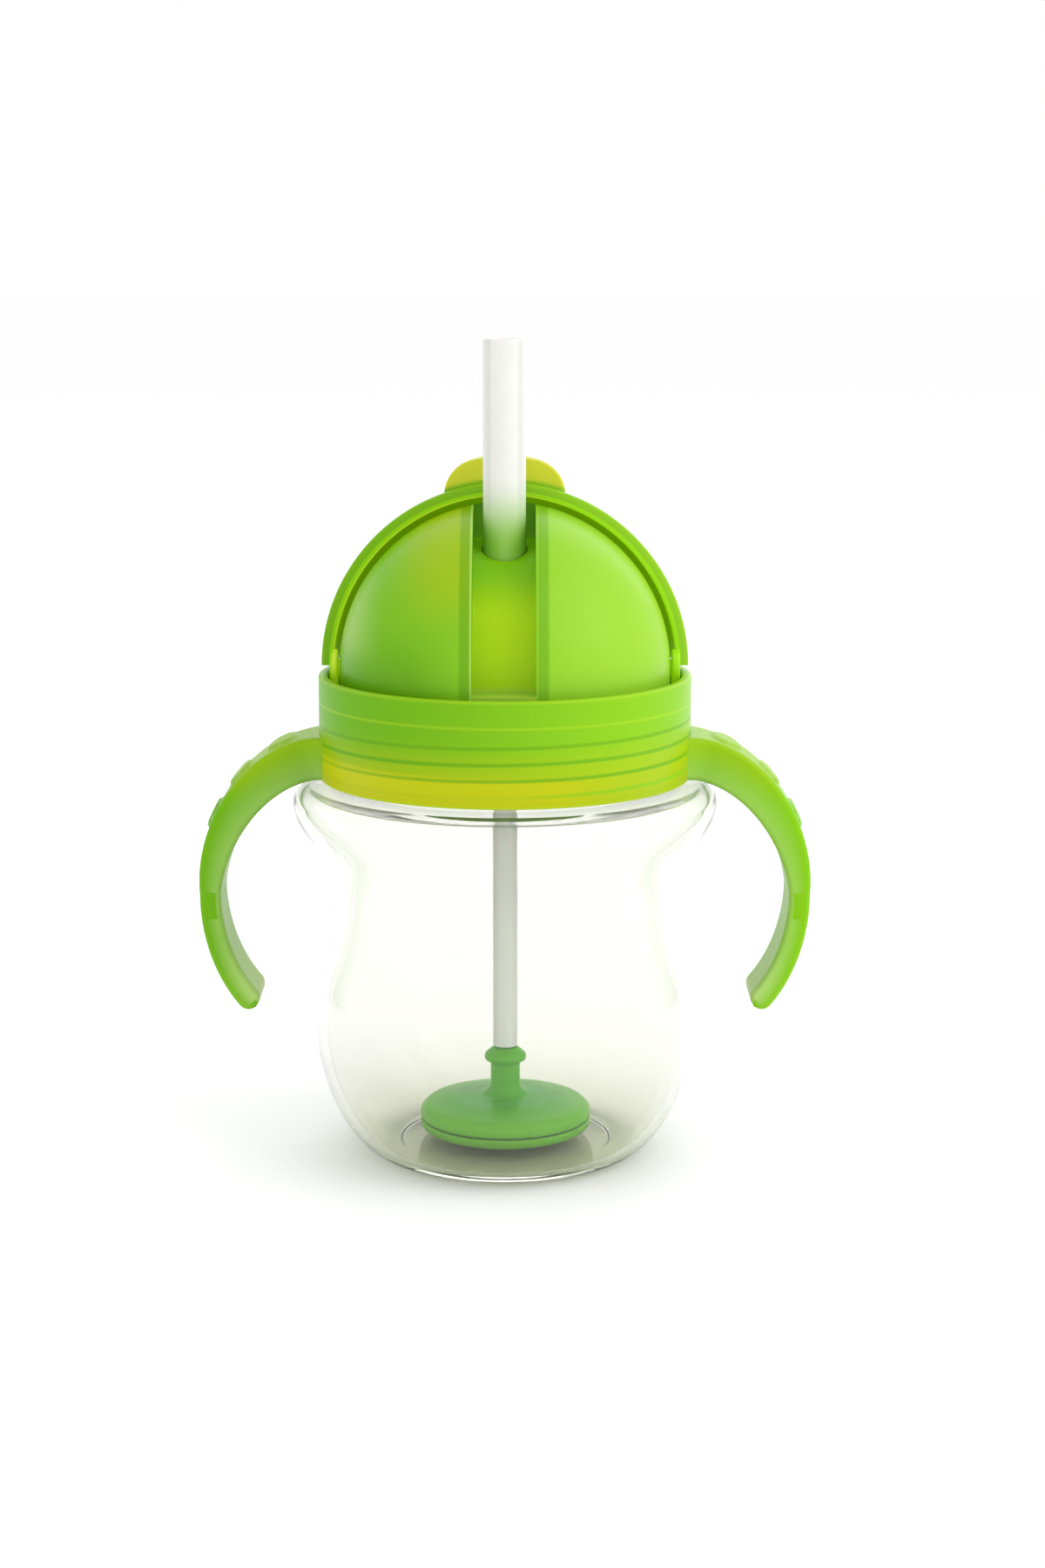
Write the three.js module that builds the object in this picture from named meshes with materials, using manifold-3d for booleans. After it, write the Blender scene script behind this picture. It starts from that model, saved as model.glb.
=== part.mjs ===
// Straw training cup: a clear cup, a screw-on lid with two moulded handles, a dome with a
// straw in a channel, a flip cover that folds the straw away, and a weighted lower straw.
// Millimetres. +Z is up, the base stands on z = 0, the handles lie along X, the channel faces -Y.
import * as THREE from "three";
import { mergeVertices } from "three/addons/utils/BufferGeometryUtils.js";
import Module from "manifold-3d";

const wasm = await Module();
wasm.setup();

// ---- Driving dimensions ----
const ROUND_SIDES = 40; // facets round the cup and the lid
const SMALL_SIDES = 12; // facets round the straws and the pins
const WEIGHT_SIDES = 28; // facets round the weight
const REST_GAP = 0.3; // left between two pieces that rest on each other
const FLEX_GAP = 0.7; // left where a soft joint lets one piece lean against the next
const EMBED = 0.4; // how far a joined shape reaches into the one that it grows from
const CUT_PAST = 5; // how far a cut runs past the face that it opens

// Cup, a surface of revolution
const CUP_WALL = 2.0;
const CUP_FLOOR_WALL = 1.4;
const FOOT_RADIUS = 24.5;
const FOOT_RING = 4; // width of the ring that it stands on
const FOOT_RECESS_DEPTH = 0.7;
const BELLY_RADIUS = 37.2;
const BELLY_Z = 26;
const WAIST_RADIUS = 33.2;
const WAIST_RISE = 26; // from the belly to the waist
const SHOULDER_RISE = 18; // from the waist to where the shoulder is widest
const SHOULDER_OVERHANG = 9.2; // of the shoulder beyond the neck
const SHOULDER_CAP = 3.9; // height of its rounded top above that
const NECK_RADIUS = 32;
const NECK_LIP = 1.65; // plain height of the neck above its thread
const EDGE_ROUND = 0.4; // of the neck's rim

// Screw thread, right-handed, shared by the neck and the collar
const THREAD_PITCH = 3.05;
const THREAD_DEPTH = 1.45;
const THREAD_CREST = 0.55; // axial width at the crest
const THREAD_ROOT = 1.25; // axial width at the root
const NECK_TURNS = 3;
const COLLAR_TURNS = 2.4;
const THREAD_START = 3.4; // of the neck's first turn above the shoulder's top
const THREAD_ROOM = 0.75; // radial clearance between a crest and the wall it faces

// Collar
const COLLAR_WALL = 1.8;
const COLLAR_EDGE = 0.5;
const SKIRT_CLEARANCE = 0.9; // between the skirt and the shoulder
const SEAL_THICKNESS = 1.2;
const SEAL_WIDTH = 2.2;
const LEDGE_THICKNESS = 1.5; // the inner ledge that presses the seal and carries the dome
const RING_BELOW_PIVOT = 1.1; // of the top of the ring round the dome
const PLUG_WALL = 1.3; // of the short sleeve inside the neck
const PLUG_DEPTH = 3.8;
const PLUG_CLEARANCE = 0.6;

// Handles
const HANDLE_SPAN = 23.2; // from the collar to the outermost point
const HANDLE_DEPTH = 14; // across the band, along Y
const HANDLE_ROOT_THICK = 8.4;
const HANDLE_GRIP_THICK = 4.1;
const HANDLE_TIP_THICK = 4.6;
const HANDLE_DROP = 27; // from the root's middle to the outermost point
const HANDLE_TAIL = 22.3; // from there down to the tip's middle
const HANDLE_TIP_INSET = 8.6; // of the tip from the outermost point
const HANDLE_ROOT_RISE = 0.2; // of the root above the collar's lower edge
const HANDLE_EDGE = 1.1; // rounding of the band's edges
const HANDLE_ROOT_FLARE = 4; // how much wider the band grows where it joins the collar
const GRIP_PADS = 3;
const FIRST_PAD = 0.18; // place of the first pad along the upper half of the handle
const PAD_STEP = 0.23;
const GRIP_PAD_HEIGHT = 0.7;
const GRIP_PAD_LENGTH = 5.0;
const GRIP_PAD_WIDTH = 9.5;

// Dome
const PIVOT_GROOVE = 2.3; // between the dome and the ring, for the cover's cheeks
const DOME_WALL = 1.8;
const CHANNEL_SIDE_ROOM = 1.85; // on each side of the straw
const CHANNEL_FLOOR_ROOM = 0.45; // under the folded straw
const CHANNEL_WALL = 2.0;
const CHANNEL_BACK_ANGLE = 8; // degrees behind the vertical
const CHANNEL_BACK_WALL = 4; // degrees that its tray runs on behind that
const CHANNEL_FOOT = 0.9; // the channel ends this far under the pivot line
const BOSS_WALL = 1.6; // of the sleeve that guides the straw under the channel's floor

// Flip cover
const COVER_ROOM = 2.0; // between the dome and the cover
const COVER_WALL = 1.6;
const BEAD_EXTRA = 0.9; // by which the front edge is thicker than the wall
const COVER_BEAD_WIDTH = 2.6;
const COVER_FOOT_GAP = 0.3; // of its lower edge above the pivot line
const CHEEK_RADIUS = 3.5;
const CHEEK_FLOOR_GAP = 1.0; // of a cheek above the ledge
const CHEEK_RING_GAP = 0.5; // between a cheek and the ring
const PIN_RADIUS = 1.6;
const PIN_LENGTH = 2.6;
const PIN_CLEARANCE = 0.25;
const TAB_WIDTH = 23.5;
const TAB_REACH = 5.3; // beyond the cover
const TAB_THICK = 2.2;
const TAB_ANGLE = 6; // degrees behind the front edge
const TAB_ROOT = 2.4; // how far its straight foot starts inside the cover
const TAB_FULLNESS = 0.66; // 0.55 would make its outline half an ellipse
const TAB_EDGE = 0.5;

// Straws
const STRAW_RADIUS = 4.05;
const STRAW_BORE_RADIUS = 2.75;
const STRAW_OFFSET = 7.8; // of the drinking straw in front of the axis
const STRAW_CLEARANCE = 0.3;
const STRAW_STANDS = 34.7; // length above its fold line
const STRAW_COVER_ROOM = 0.35; // between the folded straw and the cover
const STRAW_PIECES = 4;
const STEM_BEND_DROP = 11.75; // height over which the stem bends in to the axis
const STEM_STRAIGHT = 1; // straight length between that bend and the nipple
const NIPPLE_LENGTH = 2;
const NIPPLE_CLEARANCE = 0.25;
const FLANGE_THICK = 1.6;
const HOLDER_WALL = 1.2; // of the cap that holds the flange
const HOLDER_GRIP = 2.2; // how far the cap reaches up round the boss
const TUBE_RADIUS = 2.4;
const TUBE_BORE_RADIUS = 1.5;
const CONNECTOR_RADIUS = 4.2;
const CONNECTOR_LENGTH = 8;
const CONNECTOR_BARREL = 2.4; // height of its thick middle
const CONNECTOR_STEP = 0.5; // of the collars that the straws butt against
const NIPPLE_BORE_RADIUS = 1.0;

// Weight
const WEIGHT_RADIUS = 16.85;
const WEIGHT_FLOOR_GAP = 1.6; // of the case above the cup's floor
const WEIGHT_HEIGHT = 5.2; // of the case's rim
const WEIGHT_CROWN = 1.6; // extra height of the domed top at the middle
const WEIGHT_WALL = 1.2;
const WEIGHT_EDGE = 1.2; // rounding of the case
const WEIGHT_SPLIT = 2.34; // height of the seam above the case's foot
const INTAKE_RADIUS = 1.8; // of the hole in the case's foot
const STEM_RADIUS = 2.9;
const STEM_HEIGHT = 6.6;
const KNOB_RADIUS = 4.1;
const KNOB_HEIGHT = 3.0;
const NUB_WALL = 0.4;
const NUB_HEIGHT = 1.6;

// ---- Places worked out from them ----
const waistZ = BELLY_Z + WAIST_RISE;
const shoulderZ = waistZ + SHOULDER_RISE;
const shoulderTop = shoulderZ + SHOULDER_CAP;
const shoulderRadius = NECK_RADIUS + SHOULDER_OVERHANG;
const threadStart = shoulderTop + THREAD_START;
const neckTop = threadStart + NECK_TURNS * THREAD_PITCH + NECK_LIP;
const neckBore = NECK_RADIUS - CUP_WALL;
const collarBore = NECK_RADIUS + THREAD_DEPTH + THREAD_ROOM;
const collarRadius = collarBore + COLLAR_WALL;
const skirtBottom = shoulderTop + SKIRT_CLEARANCE;
const sealBottom = neckTop + REST_GAP;
const ledgeBottom = sealBottom + SEAL_THICKNESS + REST_GAP;
const ledgeTop = ledgeBottom + LEDGE_THICKNESS;
const pivotZ = ledgeTop + CHEEK_FLOOR_GAP + CHEEK_RADIUS;
const ringTop = pivotZ - RING_BELOW_PIVOT;
const plugRadius = neckBore - PLUG_CLEARANCE;
const ledgeBore = plugRadius - PLUG_WALL;
const domeRadius = collarBore - PIVOT_GROOVE;
const domeBore = domeRadius - DOME_WALL;
const domeBottom = ledgeTop + REST_GAP;
const coverBore = domeRadius + COVER_ROOM;
const coverRadius = coverBore + COVER_WALL;
const cheekFace = domeRadius + REST_GAP;
const cheekOutside = collarBore - CHEEK_RING_GAP;
const cupFloor = FOOT_RECESS_DEPTH + CUP_FLOOR_WALL;
const strawHole = STRAW_RADIUS + STRAW_CLEARANCE;
const foldRadius = coverBore - STRAW_COVER_ROOM - STRAW_RADIUS; // about the pivot line
const foldZ = pivotZ + Math.sqrt(foldRadius ** 2 - STRAW_OFFSET ** 2);
const channelFloorRadius = foldRadius - STRAW_RADIUS - CHANNEL_FLOOR_ROOM;
const channelFloorZ = pivotZ + Math.sqrt(channelFloorRadius ** 2 - STRAW_OFFSET ** 2);
const channelWidth = 2 * (STRAW_RADIUS + CHANNEL_SIDE_ROOM);
const bossRadius = strawHole + BOSS_WALL;
const holderBore = bossRadius + REST_GAP;
const holderRadius = holderBore + HOLDER_WALL;
const trayRadius = channelFloorRadius - CHANNEL_WALL;
const trayZ = pivotZ + Math.sqrt(trayRadius ** 2 - (STRAW_OFFSET + holderRadius) ** 2);
const bossBottom = trayZ - REST_GAP - HOLDER_GRIP;
const flangeTop = bossBottom - REST_GAP;
const holderBottom = flangeTop - FLANGE_THICK - REST_GAP - HOLDER_WALL;
const bendTopZ = holderBottom - REST_GAP;
const bendBottomZ = bendTopZ - STEM_BEND_DROP;
const stemEndZ = bendBottomZ - NIPPLE_LENGTH - STEM_STRAIGHT;
const connectorTop = stemEndZ - FLEX_GAP / 2;
const connectorBottom = connectorTop - CONNECTOR_LENGTH;
const weightBottom = cupFloor + WEIGHT_FLOOR_GAP;
const weightTop = weightBottom + WEIGHT_HEIGHT;
const knobBottom = weightTop + WEIGHT_CROWN + STEM_HEIGHT;
const nubTop = knobBottom + KNOB_HEIGHT + NUB_HEIGHT;

// ---- Materials ----
const plastic = (color, roughness, opacity = 1) =>
  new THREE.MeshStandardMaterial({
    color,
    roughness,
    metalness: 0,
    opacity,
    transparent: opacity < 1,
  });
const clearPlastic = plastic(0xededE6, 0.2, 0.35);
const greenPlastic = plastic(0x7cc400, 0.3);
const deepGreenPlastic = plastic(0x5db02a, 0.35);
const softWhite = plastic(0xefeee9, 0.5);
const sealWhite = plastic(0xe4e4dc, 0.6);
const hardClear = plastic(0xe6ead8, 0.25, 0.6);
const steel = new THREE.MeshStandardMaterial({ color: 0xb9bcc0, roughness: 0.3, metalness: 1 });

// ---- Solids ----
const toRadians = THREE.MathUtils.degToRad;
const point = (across, up) => new THREE.Vector2(across, up);

// A closed geometry as a solid that can be cut and joined.
function solid(geometry) {
  const bare = geometry.clone();
  bare.deleteAttribute("normal");
  bare.deleteAttribute("uv");
  const merged = mergeVertices(bare, 1e-4);
  return new wasm.Manifold(
    new wasm.Mesh({
      numProp: 3,
      vertProperties: merged.attributes.position.array,
      triVerts: new Uint32Array(merged.index.array),
    }),
  );
}

function piece(name, made, material) {
  const mesh = made.getMesh();
  const geometry = new THREE.BufferGeometry();
  geometry.setAttribute("position", new THREE.BufferAttribute(mesh.vertProperties, 3));
  geometry.setIndex(new THREE.BufferAttribute(mesh.triVerts, 1));
  geometry.computeVertexNormals();
  const result = new THREE.Mesh(geometry, material);
  result.name = name;
  return result;
}

// Revolves a profile of (radius, height) points about Z. It runs up the outside and down the inside.
function revolve(profile, sides = ROUND_SIDES) {
  return solid(new THREE.LatheGeometry(profile, sides).rotateX(Math.PI / 2));
}

// A ring or a disc between two heights.
function ring(outer, inner, bottom, top, sides = ROUND_SIDES) {
  const profile = [point(inner, bottom), point(outer, bottom), point(outer, top), point(inner, top)];
  if (inner > 0) profile.push(point(inner, bottom));
  return revolve(profile, sides);
}

// Extrudes an outline drawn in (y, z) across X, centred on x = 0.
function acrossX(shape, width) {
  const geometry = new THREE.ExtrudeGeometry(shape, {
    depth: width,
    bevelEnabled: false,
    curveSegments: 20,
  });
  geometry.translate(0, 0, -width / 2);
  geometry.applyMatrix4(new THREE.Matrix4().set(0, 0, 1, 0, 1, 0, 0, 0, 0, 1, 0, 0, 0, 0, 0, 1));
  return solid(geometry);
}

// A block that fills the given box.
function block(x0, x1, y0, y1, z0, z1) {
  const geometry = new THREE.BoxGeometry(x1 - x0, y1 - y0, z1 - z0);
  geometry.translate((x0 + x1) / 2, (y0 + y1) / 2, (z0 + z1) / 2);
  return solid(geometry);
}

// A rod along X between two places on the pivot line.
function pivotRod(radius, x0, x1) {
  const geometry = new THREE.CylinderGeometry(radius, radius, Math.abs(x1 - x0), SMALL_SIDES);
  geometry.rotateZ(Math.PI / 2);
  geometry.translate((x0 + x1) / 2, 0, pivotZ);
  return solid(geometry);
}

function sphere(radius) {
  const geometry = new THREE.SphereGeometry(radius, ROUND_SIDES, ROUND_SIDES / 2);
  geometry.rotateX(Math.PI / 2);
  geometry.translate(0, 0, pivotZ);
  return solid(geometry);
}

// A hollow tube along a curve, with closed ends.
function tubeAlong(curve, outer, bore, steps) {
  const section = new THREE.Shape().absarc(0, 0, outer, 0, 2 * Math.PI);
  if (bore > 0) section.holes.push(new THREE.Path().absarc(0, 0, bore, 0, 2 * Math.PI, true));
  return solid(
    new THREE.ExtrudeGeometry(section, { steps, extrudePath: curve, curveSegments: SMALL_SIDES / 2 }),
  );
}

// ---- Screw thread ----
// A helical ridge from its root to its crest, tapered to nothing over an eighth of a turn at each end.
function threadRidge(root, crest, startZ, turns) {
  const steps = Math.round(turns * ROUND_SIDES);
  const run = ROUND_SIDES / 8;
  const positions = [];
  const faces = [];
  for (let i = 0; i <= steps; i++) {
    const angle = (2 * Math.PI * i) / ROUND_SIDES;
    const z = startZ + (THREAD_PITCH * i) / ROUND_SIDES;
    const grown = Math.min(1, (i + 1) / run, (steps - i + 1) / run);
    const tip = root + (crest - root) * grown;
    const section = [
      [root, -THREAD_ROOT / 2],
      [tip, -THREAD_CREST / 2],
      [tip, THREAD_CREST / 2],
      [root, THREAD_ROOT / 2],
    ];
    for (const [radius, rise] of section)
      positions.push(radius * Math.cos(angle), radius * Math.sin(angle), z + rise);
  }
  const quad = (a, b, c, d) => faces.push(a, b, c, a, c, d);
  for (let i = 0; i < steps; i++) {
    for (let k = 0; k < 4; k++) {
      const here = 4 * i + k;
      const beside = 4 * i + ((k + 1) % 4);
      quad(here, here + 4, beside + 4, beside);
    }
  }
  quad(0, 1, 2, 3);
  quad(4 * steps + 3, 4 * steps + 2, 4 * steps + 1, 4 * steps);
  if (crest < root) faces.reverse();
  const geometry = new THREE.BufferGeometry();
  geometry.setAttribute("position", new THREE.Float32BufferAttribute(positions, 3));
  geometry.setIndex(faces);
  return solid(geometry);
}

// ---- Cup ----
// The outside, from the foot's edge up to the shoulder's top, as (radius, height) points.
function cupOutline() {
  const path = new THREE.Path();
  const shoulderFlat = shoulderRadius - SHOULDER_CAP;
  path.moveTo(FOOT_RADIUS, 0);
  path.bezierCurveTo(
    FOOT_RADIUS + 0.4 * (BELLY_RADIUS - FOOT_RADIUS), 0.03 * BELLY_Z,
    BELLY_RADIUS, 0.46 * BELLY_Z,
    BELLY_RADIUS, BELLY_Z,
  );
  path.bezierCurveTo(
    BELLY_RADIUS, BELLY_Z + 0.31 * WAIST_RISE,
    WAIST_RADIUS, waistZ - 0.35 * WAIST_RISE,
    WAIST_RADIUS, waistZ,
  );
  path.bezierCurveTo(
    WAIST_RADIUS, waistZ + 0.47 * SHOULDER_RISE,
    shoulderRadius, shoulderZ - 0.36 * SHOULDER_RISE,
    shoulderRadius, shoulderZ,
  );
  path.bezierCurveTo(
    shoulderRadius, shoulderZ + 0.55 * SHOULDER_CAP,
    shoulderFlat + 0.45 * SHOULDER_CAP, shoulderTop,
    shoulderFlat, shoulderTop,
  );
  return path.getPoints(4);
}

// The same outline moved inwards by the wall.
function inset(outline, wall) {
  return outline.map((here, i) => {
    const before = outline[Math.max(0, i - 1)];
    const after = outline[Math.min(outline.length - 1, i + 1)];
    const along = after.clone().sub(before).normalize();
    return point(here.x - wall * along.y, here.y + wall * along.x);
  });
}

function makeCup() {
  const outline = cupOutline();
  const inside = inset(outline, CUP_WALL).filter((p) => p.y > cupFloor + EDGE_ROUND);
  const recess = FOOT_RADIUS - FOOT_RING;
  const profile = [
    point(0, FOOT_RECESS_DEPTH),
    point(recess, FOOT_RECESS_DEPTH),
    point(recess + FOOT_RECESS_DEPTH, 0),
    ...outline,
    point(NECK_RADIUS, shoulderTop),
    point(NECK_RADIUS, neckTop - EDGE_ROUND),
    point(NECK_RADIUS - EDGE_ROUND, neckTop),
    point(neckBore + EDGE_ROUND, neckTop),
    point(neckBore, neckTop - EDGE_ROUND),
    point(neckBore, shoulderTop - CUP_WALL - EDGE_ROUND),
    ...inside.reverse(),
    point(FOOT_RADIUS - EDGE_ROUND, cupFloor),
    point(0, cupFloor),
  ];
  const thread = threadRidge(
    NECK_RADIUS - EMBED,
    NECK_RADIUS + THREAD_DEPTH,
    threadStart,
    NECK_TURNS,
  );
  return revolve(profile).add(thread);
}

// ---- Collar with its handles ----
// The handle's middle line, from the collar out and down to the tip, in (x, z).
function handleLine() {
  const rootZ = skirtBottom + HANDLE_ROOT_THICK / 2 + HANDLE_ROOT_RISE;
  const reach = collarRadius + HANDLE_SPAN - HANDLE_GRIP_THICK / 2;
  const rootX = collarBore + EMBED;
  const wideZ = rootZ - HANDLE_DROP;
  const span = reach - rootX;
  const line = new THREE.CurvePath();
  line.add(
    new THREE.CubicBezierCurve(
      point(rootX, rootZ),
      point(rootX + 0.58 * span, rootZ - 0.02 * HANDLE_DROP),
      point(reach, wideZ + 0.46 * HANDLE_DROP),
      point(reach, wideZ),
    ),
  );
  line.add(
    new THREE.CubicBezierCurve(
      point(reach, wideZ),
      point(reach, wideZ - 0.4 * HANDLE_TAIL),
      point(reach - 0.4 * HANDLE_TIP_INSET, wideZ - 0.78 * HANDLE_TAIL),
      point(reach - HANDLE_TIP_INSET, wideZ - HANDLE_TAIL),
    ),
  );
  return line;
}

// Half the band's thickness, from t = 0 at the root to t = 2 at the tip.
function handleHalf(t) {
  if (t < 1) {
    const share = 1 - t ** 1.6;
    return (HANDLE_GRIP_THICK + (HANDLE_ROOT_THICK - HANDLE_GRIP_THICK) * share) / 2;
  }
  return (HANDLE_GRIP_THICK + (HANDLE_TIP_THICK - HANDLE_GRIP_THICK) * (t - 1)) / 2;
}

// One place on the band: the middle line's point and its unit vector towards the outside.
function handlePlace(line, t) {
  const curve = line.curves[Math.min(1, Math.floor(t))];
  const share = t < 2 ? t % 1 : 1;
  const along = curve.getTangent(share);
  return { middle: curve.getPoint(share), outwards: point(-along.y, along.x), along };
}

function makeHandle() {
  const line = handleLine();
  const steps = 10;
  const outer = [];
  const inner = [];
  for (let i = 0; i <= 2 * steps; i++) {
    const t = i / steps;
    const { middle, outwards } = handlePlace(line, t);
    outer.push(middle.clone().addScaledVector(outwards, handleHalf(t)));
    inner.push(middle.clone().addScaledVector(outwards, -handleHalf(t)));
  }
  const end = handlePlace(line, 2);
  const tip = [];
  for (let i = 1; i < 6; i++) {
    const turn = (Math.PI * i) / 6;
    tip.push(
      end.middle
        .clone()
        .addScaledVector(end.outwards, handleHalf(2) * Math.cos(turn))
        .addScaledVector(end.along, handleHalf(2) * Math.sin(turn)),
    );
  }
  const shape = new THREE.Shape([...outer, ...tip, ...inner.reverse()]);
  const geometry = new THREE.ExtrudeGeometry(shape, {
    depth: HANDLE_DEPTH - 2 * HANDLE_EDGE,
    bevelThickness: HANDLE_EDGE,
    bevelSize: HANDLE_EDGE,
    bevelOffset: -HANDLE_EDGE,
    bevelSegments: 2,
  });
  geometry.translate(0, 0, HANDLE_EDGE - HANDLE_DEPTH / 2);
  geometry.rotateX(Math.PI / 2);
  let band = solid(geometry);
  band = band.add(rootFlare(line));
  for (let i = 0; i < GRIP_PADS; i++)
    band = band.add(gripPad(line, FIRST_PAD + PAD_STEP * i));
  return band;
}

// The wedge on each side that widens the band where it runs into the collar.
function rootFlare(line) {
  const rootZ = line.curves[0].getPoint(0).y;
  const half = HANDLE_ROOT_THICK / 2 - HANDLE_EDGE;
  const wide = HANDLE_DEPTH / 2 + HANDLE_ROOT_FLARE;
  const narrow = HANDLE_DEPTH / 2 - HANDLE_EDGE;
  const flareEnd = collarRadius + HANDLE_ROOT_FLARE;
  const outline = new THREE.Shape();
  const nearX = Math.sqrt(collarRadius ** 2 - wide ** 2) - EMBED;
  outline.moveTo(nearX, -wide);
  outline.quadraticCurveTo(collarRadius, -HANDLE_DEPTH / 2, flareEnd, -narrow);
  outline.lineTo(flareEnd, narrow);
  outline.quadraticCurveTo(collarRadius, HANDLE_DEPTH / 2, nearX, wide);
  const geometry = new THREE.ExtrudeGeometry(outline, {
    depth: 2 * (half - EMBED),
    bevelEnabled: false,
    curveSegments: 5,
  });
  geometry.translate(0, 0, rootZ - half + EMBED);
  return solid(geometry);
}

// A low oval pad on the band's outside, for the fingers.
function gripPad(line, t) {
  const { middle, outwards, along } = handlePlace(line, t);
  const geometry = new THREE.SphereGeometry(1, 12, 8);
  geometry.scale(GRIP_PAD_LENGTH / 2, GRIP_PAD_WIDTH / 2, 2 * GRIP_PAD_HEIGHT);
  geometry.rotateY(-Math.atan2(along.y, along.x));
  const centre = middle.clone().addScaledVector(outwards, handleHalf(t) - GRIP_PAD_HEIGHT);
  geometry.translate(centre.x, 0, centre.y);
  return solid(geometry);
}

function makeCollar() {
  const profile = [
    point(collarBore, skirtBottom),
    point(collarRadius - COLLAR_EDGE, skirtBottom),
    point(collarRadius, skirtBottom + COLLAR_EDGE),
    point(collarRadius, ringTop - COLLAR_EDGE),
    point(collarRadius - COLLAR_EDGE, ringTop),
    point(collarBore, ringTop),
    point(collarBore, ledgeTop),
    point(ledgeBore, ledgeTop),
    point(ledgeBore, ledgeBottom - PLUG_DEPTH),
    point(plugRadius, ledgeBottom - PLUG_DEPTH),
    point(plugRadius, ledgeBottom),
    point(collarBore, ledgeBottom),
    point(collarBore, skirtBottom),
  ];
  const thread = threadRidge(
    collarBore + EMBED,
    collarBore - THREAD_DEPTH,
    threadStart + THREAD_PITCH / 2,
    COLLAR_TURNS,
  );
  const right = makeHandle();
  const handles = right.add(right.mirror([1, 0, 0]));
  const bore = ring(collarBore + EMBED / 2, 0, skirtBottom - CUT_PAST, ringTop + CUT_PAST);
  return revolve(profile).add(thread).add(handles.subtract(bore));
}

// ---- Dome ----
// Everything outside a radius about the pivot line, in (y, z), from an angle measured from the
// vertical towards the front round to the front, and from there straight down to a height.
function sector(radius, from, bottom) {
  const beyond = domeRadius + CUT_PAST;
  const steps = 16;
  const outer = [];
  const inner = [];
  for (let i = 0; i <= steps; i++) {
    const turn = toRadians(from + ((90 - from) * i) / steps);
    outer.push(point(-beyond * Math.sin(turn), pivotZ + beyond * Math.cos(turn)));
    inner.push(point(-radius * Math.sin(turn), pivotZ + radius * Math.cos(turn)));
  }
  const foot = [point(-beyond, bottom), point(-radius, bottom)];
  return new THREE.Shape([...outer, ...foot, ...inner.reverse()]);
}

function makeDome() {
  const outer = [];
  const inner = [];
  const steps = 9;
  for (let i = 0; i <= steps; i++) {
    const turn = (Math.PI / 2) * (i / steps);
    outer.push(point(domeRadius * Math.cos(turn), pivotZ + domeRadius * Math.sin(turn)));
    inner.push(point(domeBore * Math.cos(turn), pivotZ + domeBore * Math.sin(turn)));
  }
  outer[steps].x = 0;
  inner[steps].x = 0;
  const filled = revolve([point(0, domeBottom), point(domeRadius, domeBottom), ...outer]);
  const hollow = revolve([
    point(0, domeBottom - CUT_PAST),
    point(domeBore, domeBottom - CUT_PAST),
    ...inner,
  ]);
  const tray = acrossX(
    sector(trayRadius, -CHANNEL_BACK_ANGLE - CHANNEL_BACK_WALL, domeBottom),
    channelWidth + 2 * CHANNEL_WALL,
  );
  const cut = acrossX(
    sector(channelFloorRadius, -CHANNEL_BACK_ANGLE, pivotZ - CHANNEL_FOOT),
    channelWidth,
  );
  const overStraw = [0, -STRAW_OFFSET, 0];
  const boss = ring(bossRadius, 0, bossBottom, channelFloorZ - EMBED, SMALL_SIDES);
  const strawWay = ring(strawHole, 0, pivotZ, coverRadius + pivotZ, SMALL_SIDES);
  let dome = filled.subtract(hollow).add(filled.intersect(tray)).subtract(cut);
  dome = dome.add(boss.translate(overStraw).subtract(cut)).subtract(strawWay.translate(overStraw));
  for (const side of [-1, 1]) {
    const socketEnd = cheekFace - PIN_LENGTH - PIN_CLEARANCE;
    const pad = pivotRod(CHEEK_RADIUS, side * (socketEnd - DOME_WALL), side * (domeRadius - EMBED));
    dome = dome.add(pad);
    const socket = pivotRod(PIN_RADIUS + PIN_CLEARANCE, side * socketEnd, side * (domeRadius + EMBED));
    dome = dome.subtract(socket);
  }
  return dome;
}

// ---- Flip cover ----
function makeCover() {
  const reach = coverRadius + CUT_PAST;
  const top = pivotZ + reach;
  const behind = block(-reach, reach, 0, reach, pivotZ + COVER_FOOT_GAP, top);
  const shell = sphere(coverRadius).intersect(behind);
  const behindBead = block(-reach, reach, COVER_BEAD_WIDTH, reach, 0, top);
  const between = block(-cheekOutside, cheekOutside, -reach, reach, 0, top);
  const room = sphere(coverBore - BEAD_EXTRA)
    .add(sphere(coverBore).intersect(behindBead))
    .intersect(between);
  let cover = shell.subtract(room);
  for (const side of [-1, 1]) {
    const cheek = pivotRod(CHEEK_RADIUS, side * cheekFace, side * cheekOutside);
    const pin = pivotRod(PIN_RADIUS, side * (cheekFace - PIN_LENGTH), side * (cheekFace + EMBED));
    cover = cover.add(cheek).add(pin);
  }
  return cover.add(thumbTab());
}

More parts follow.
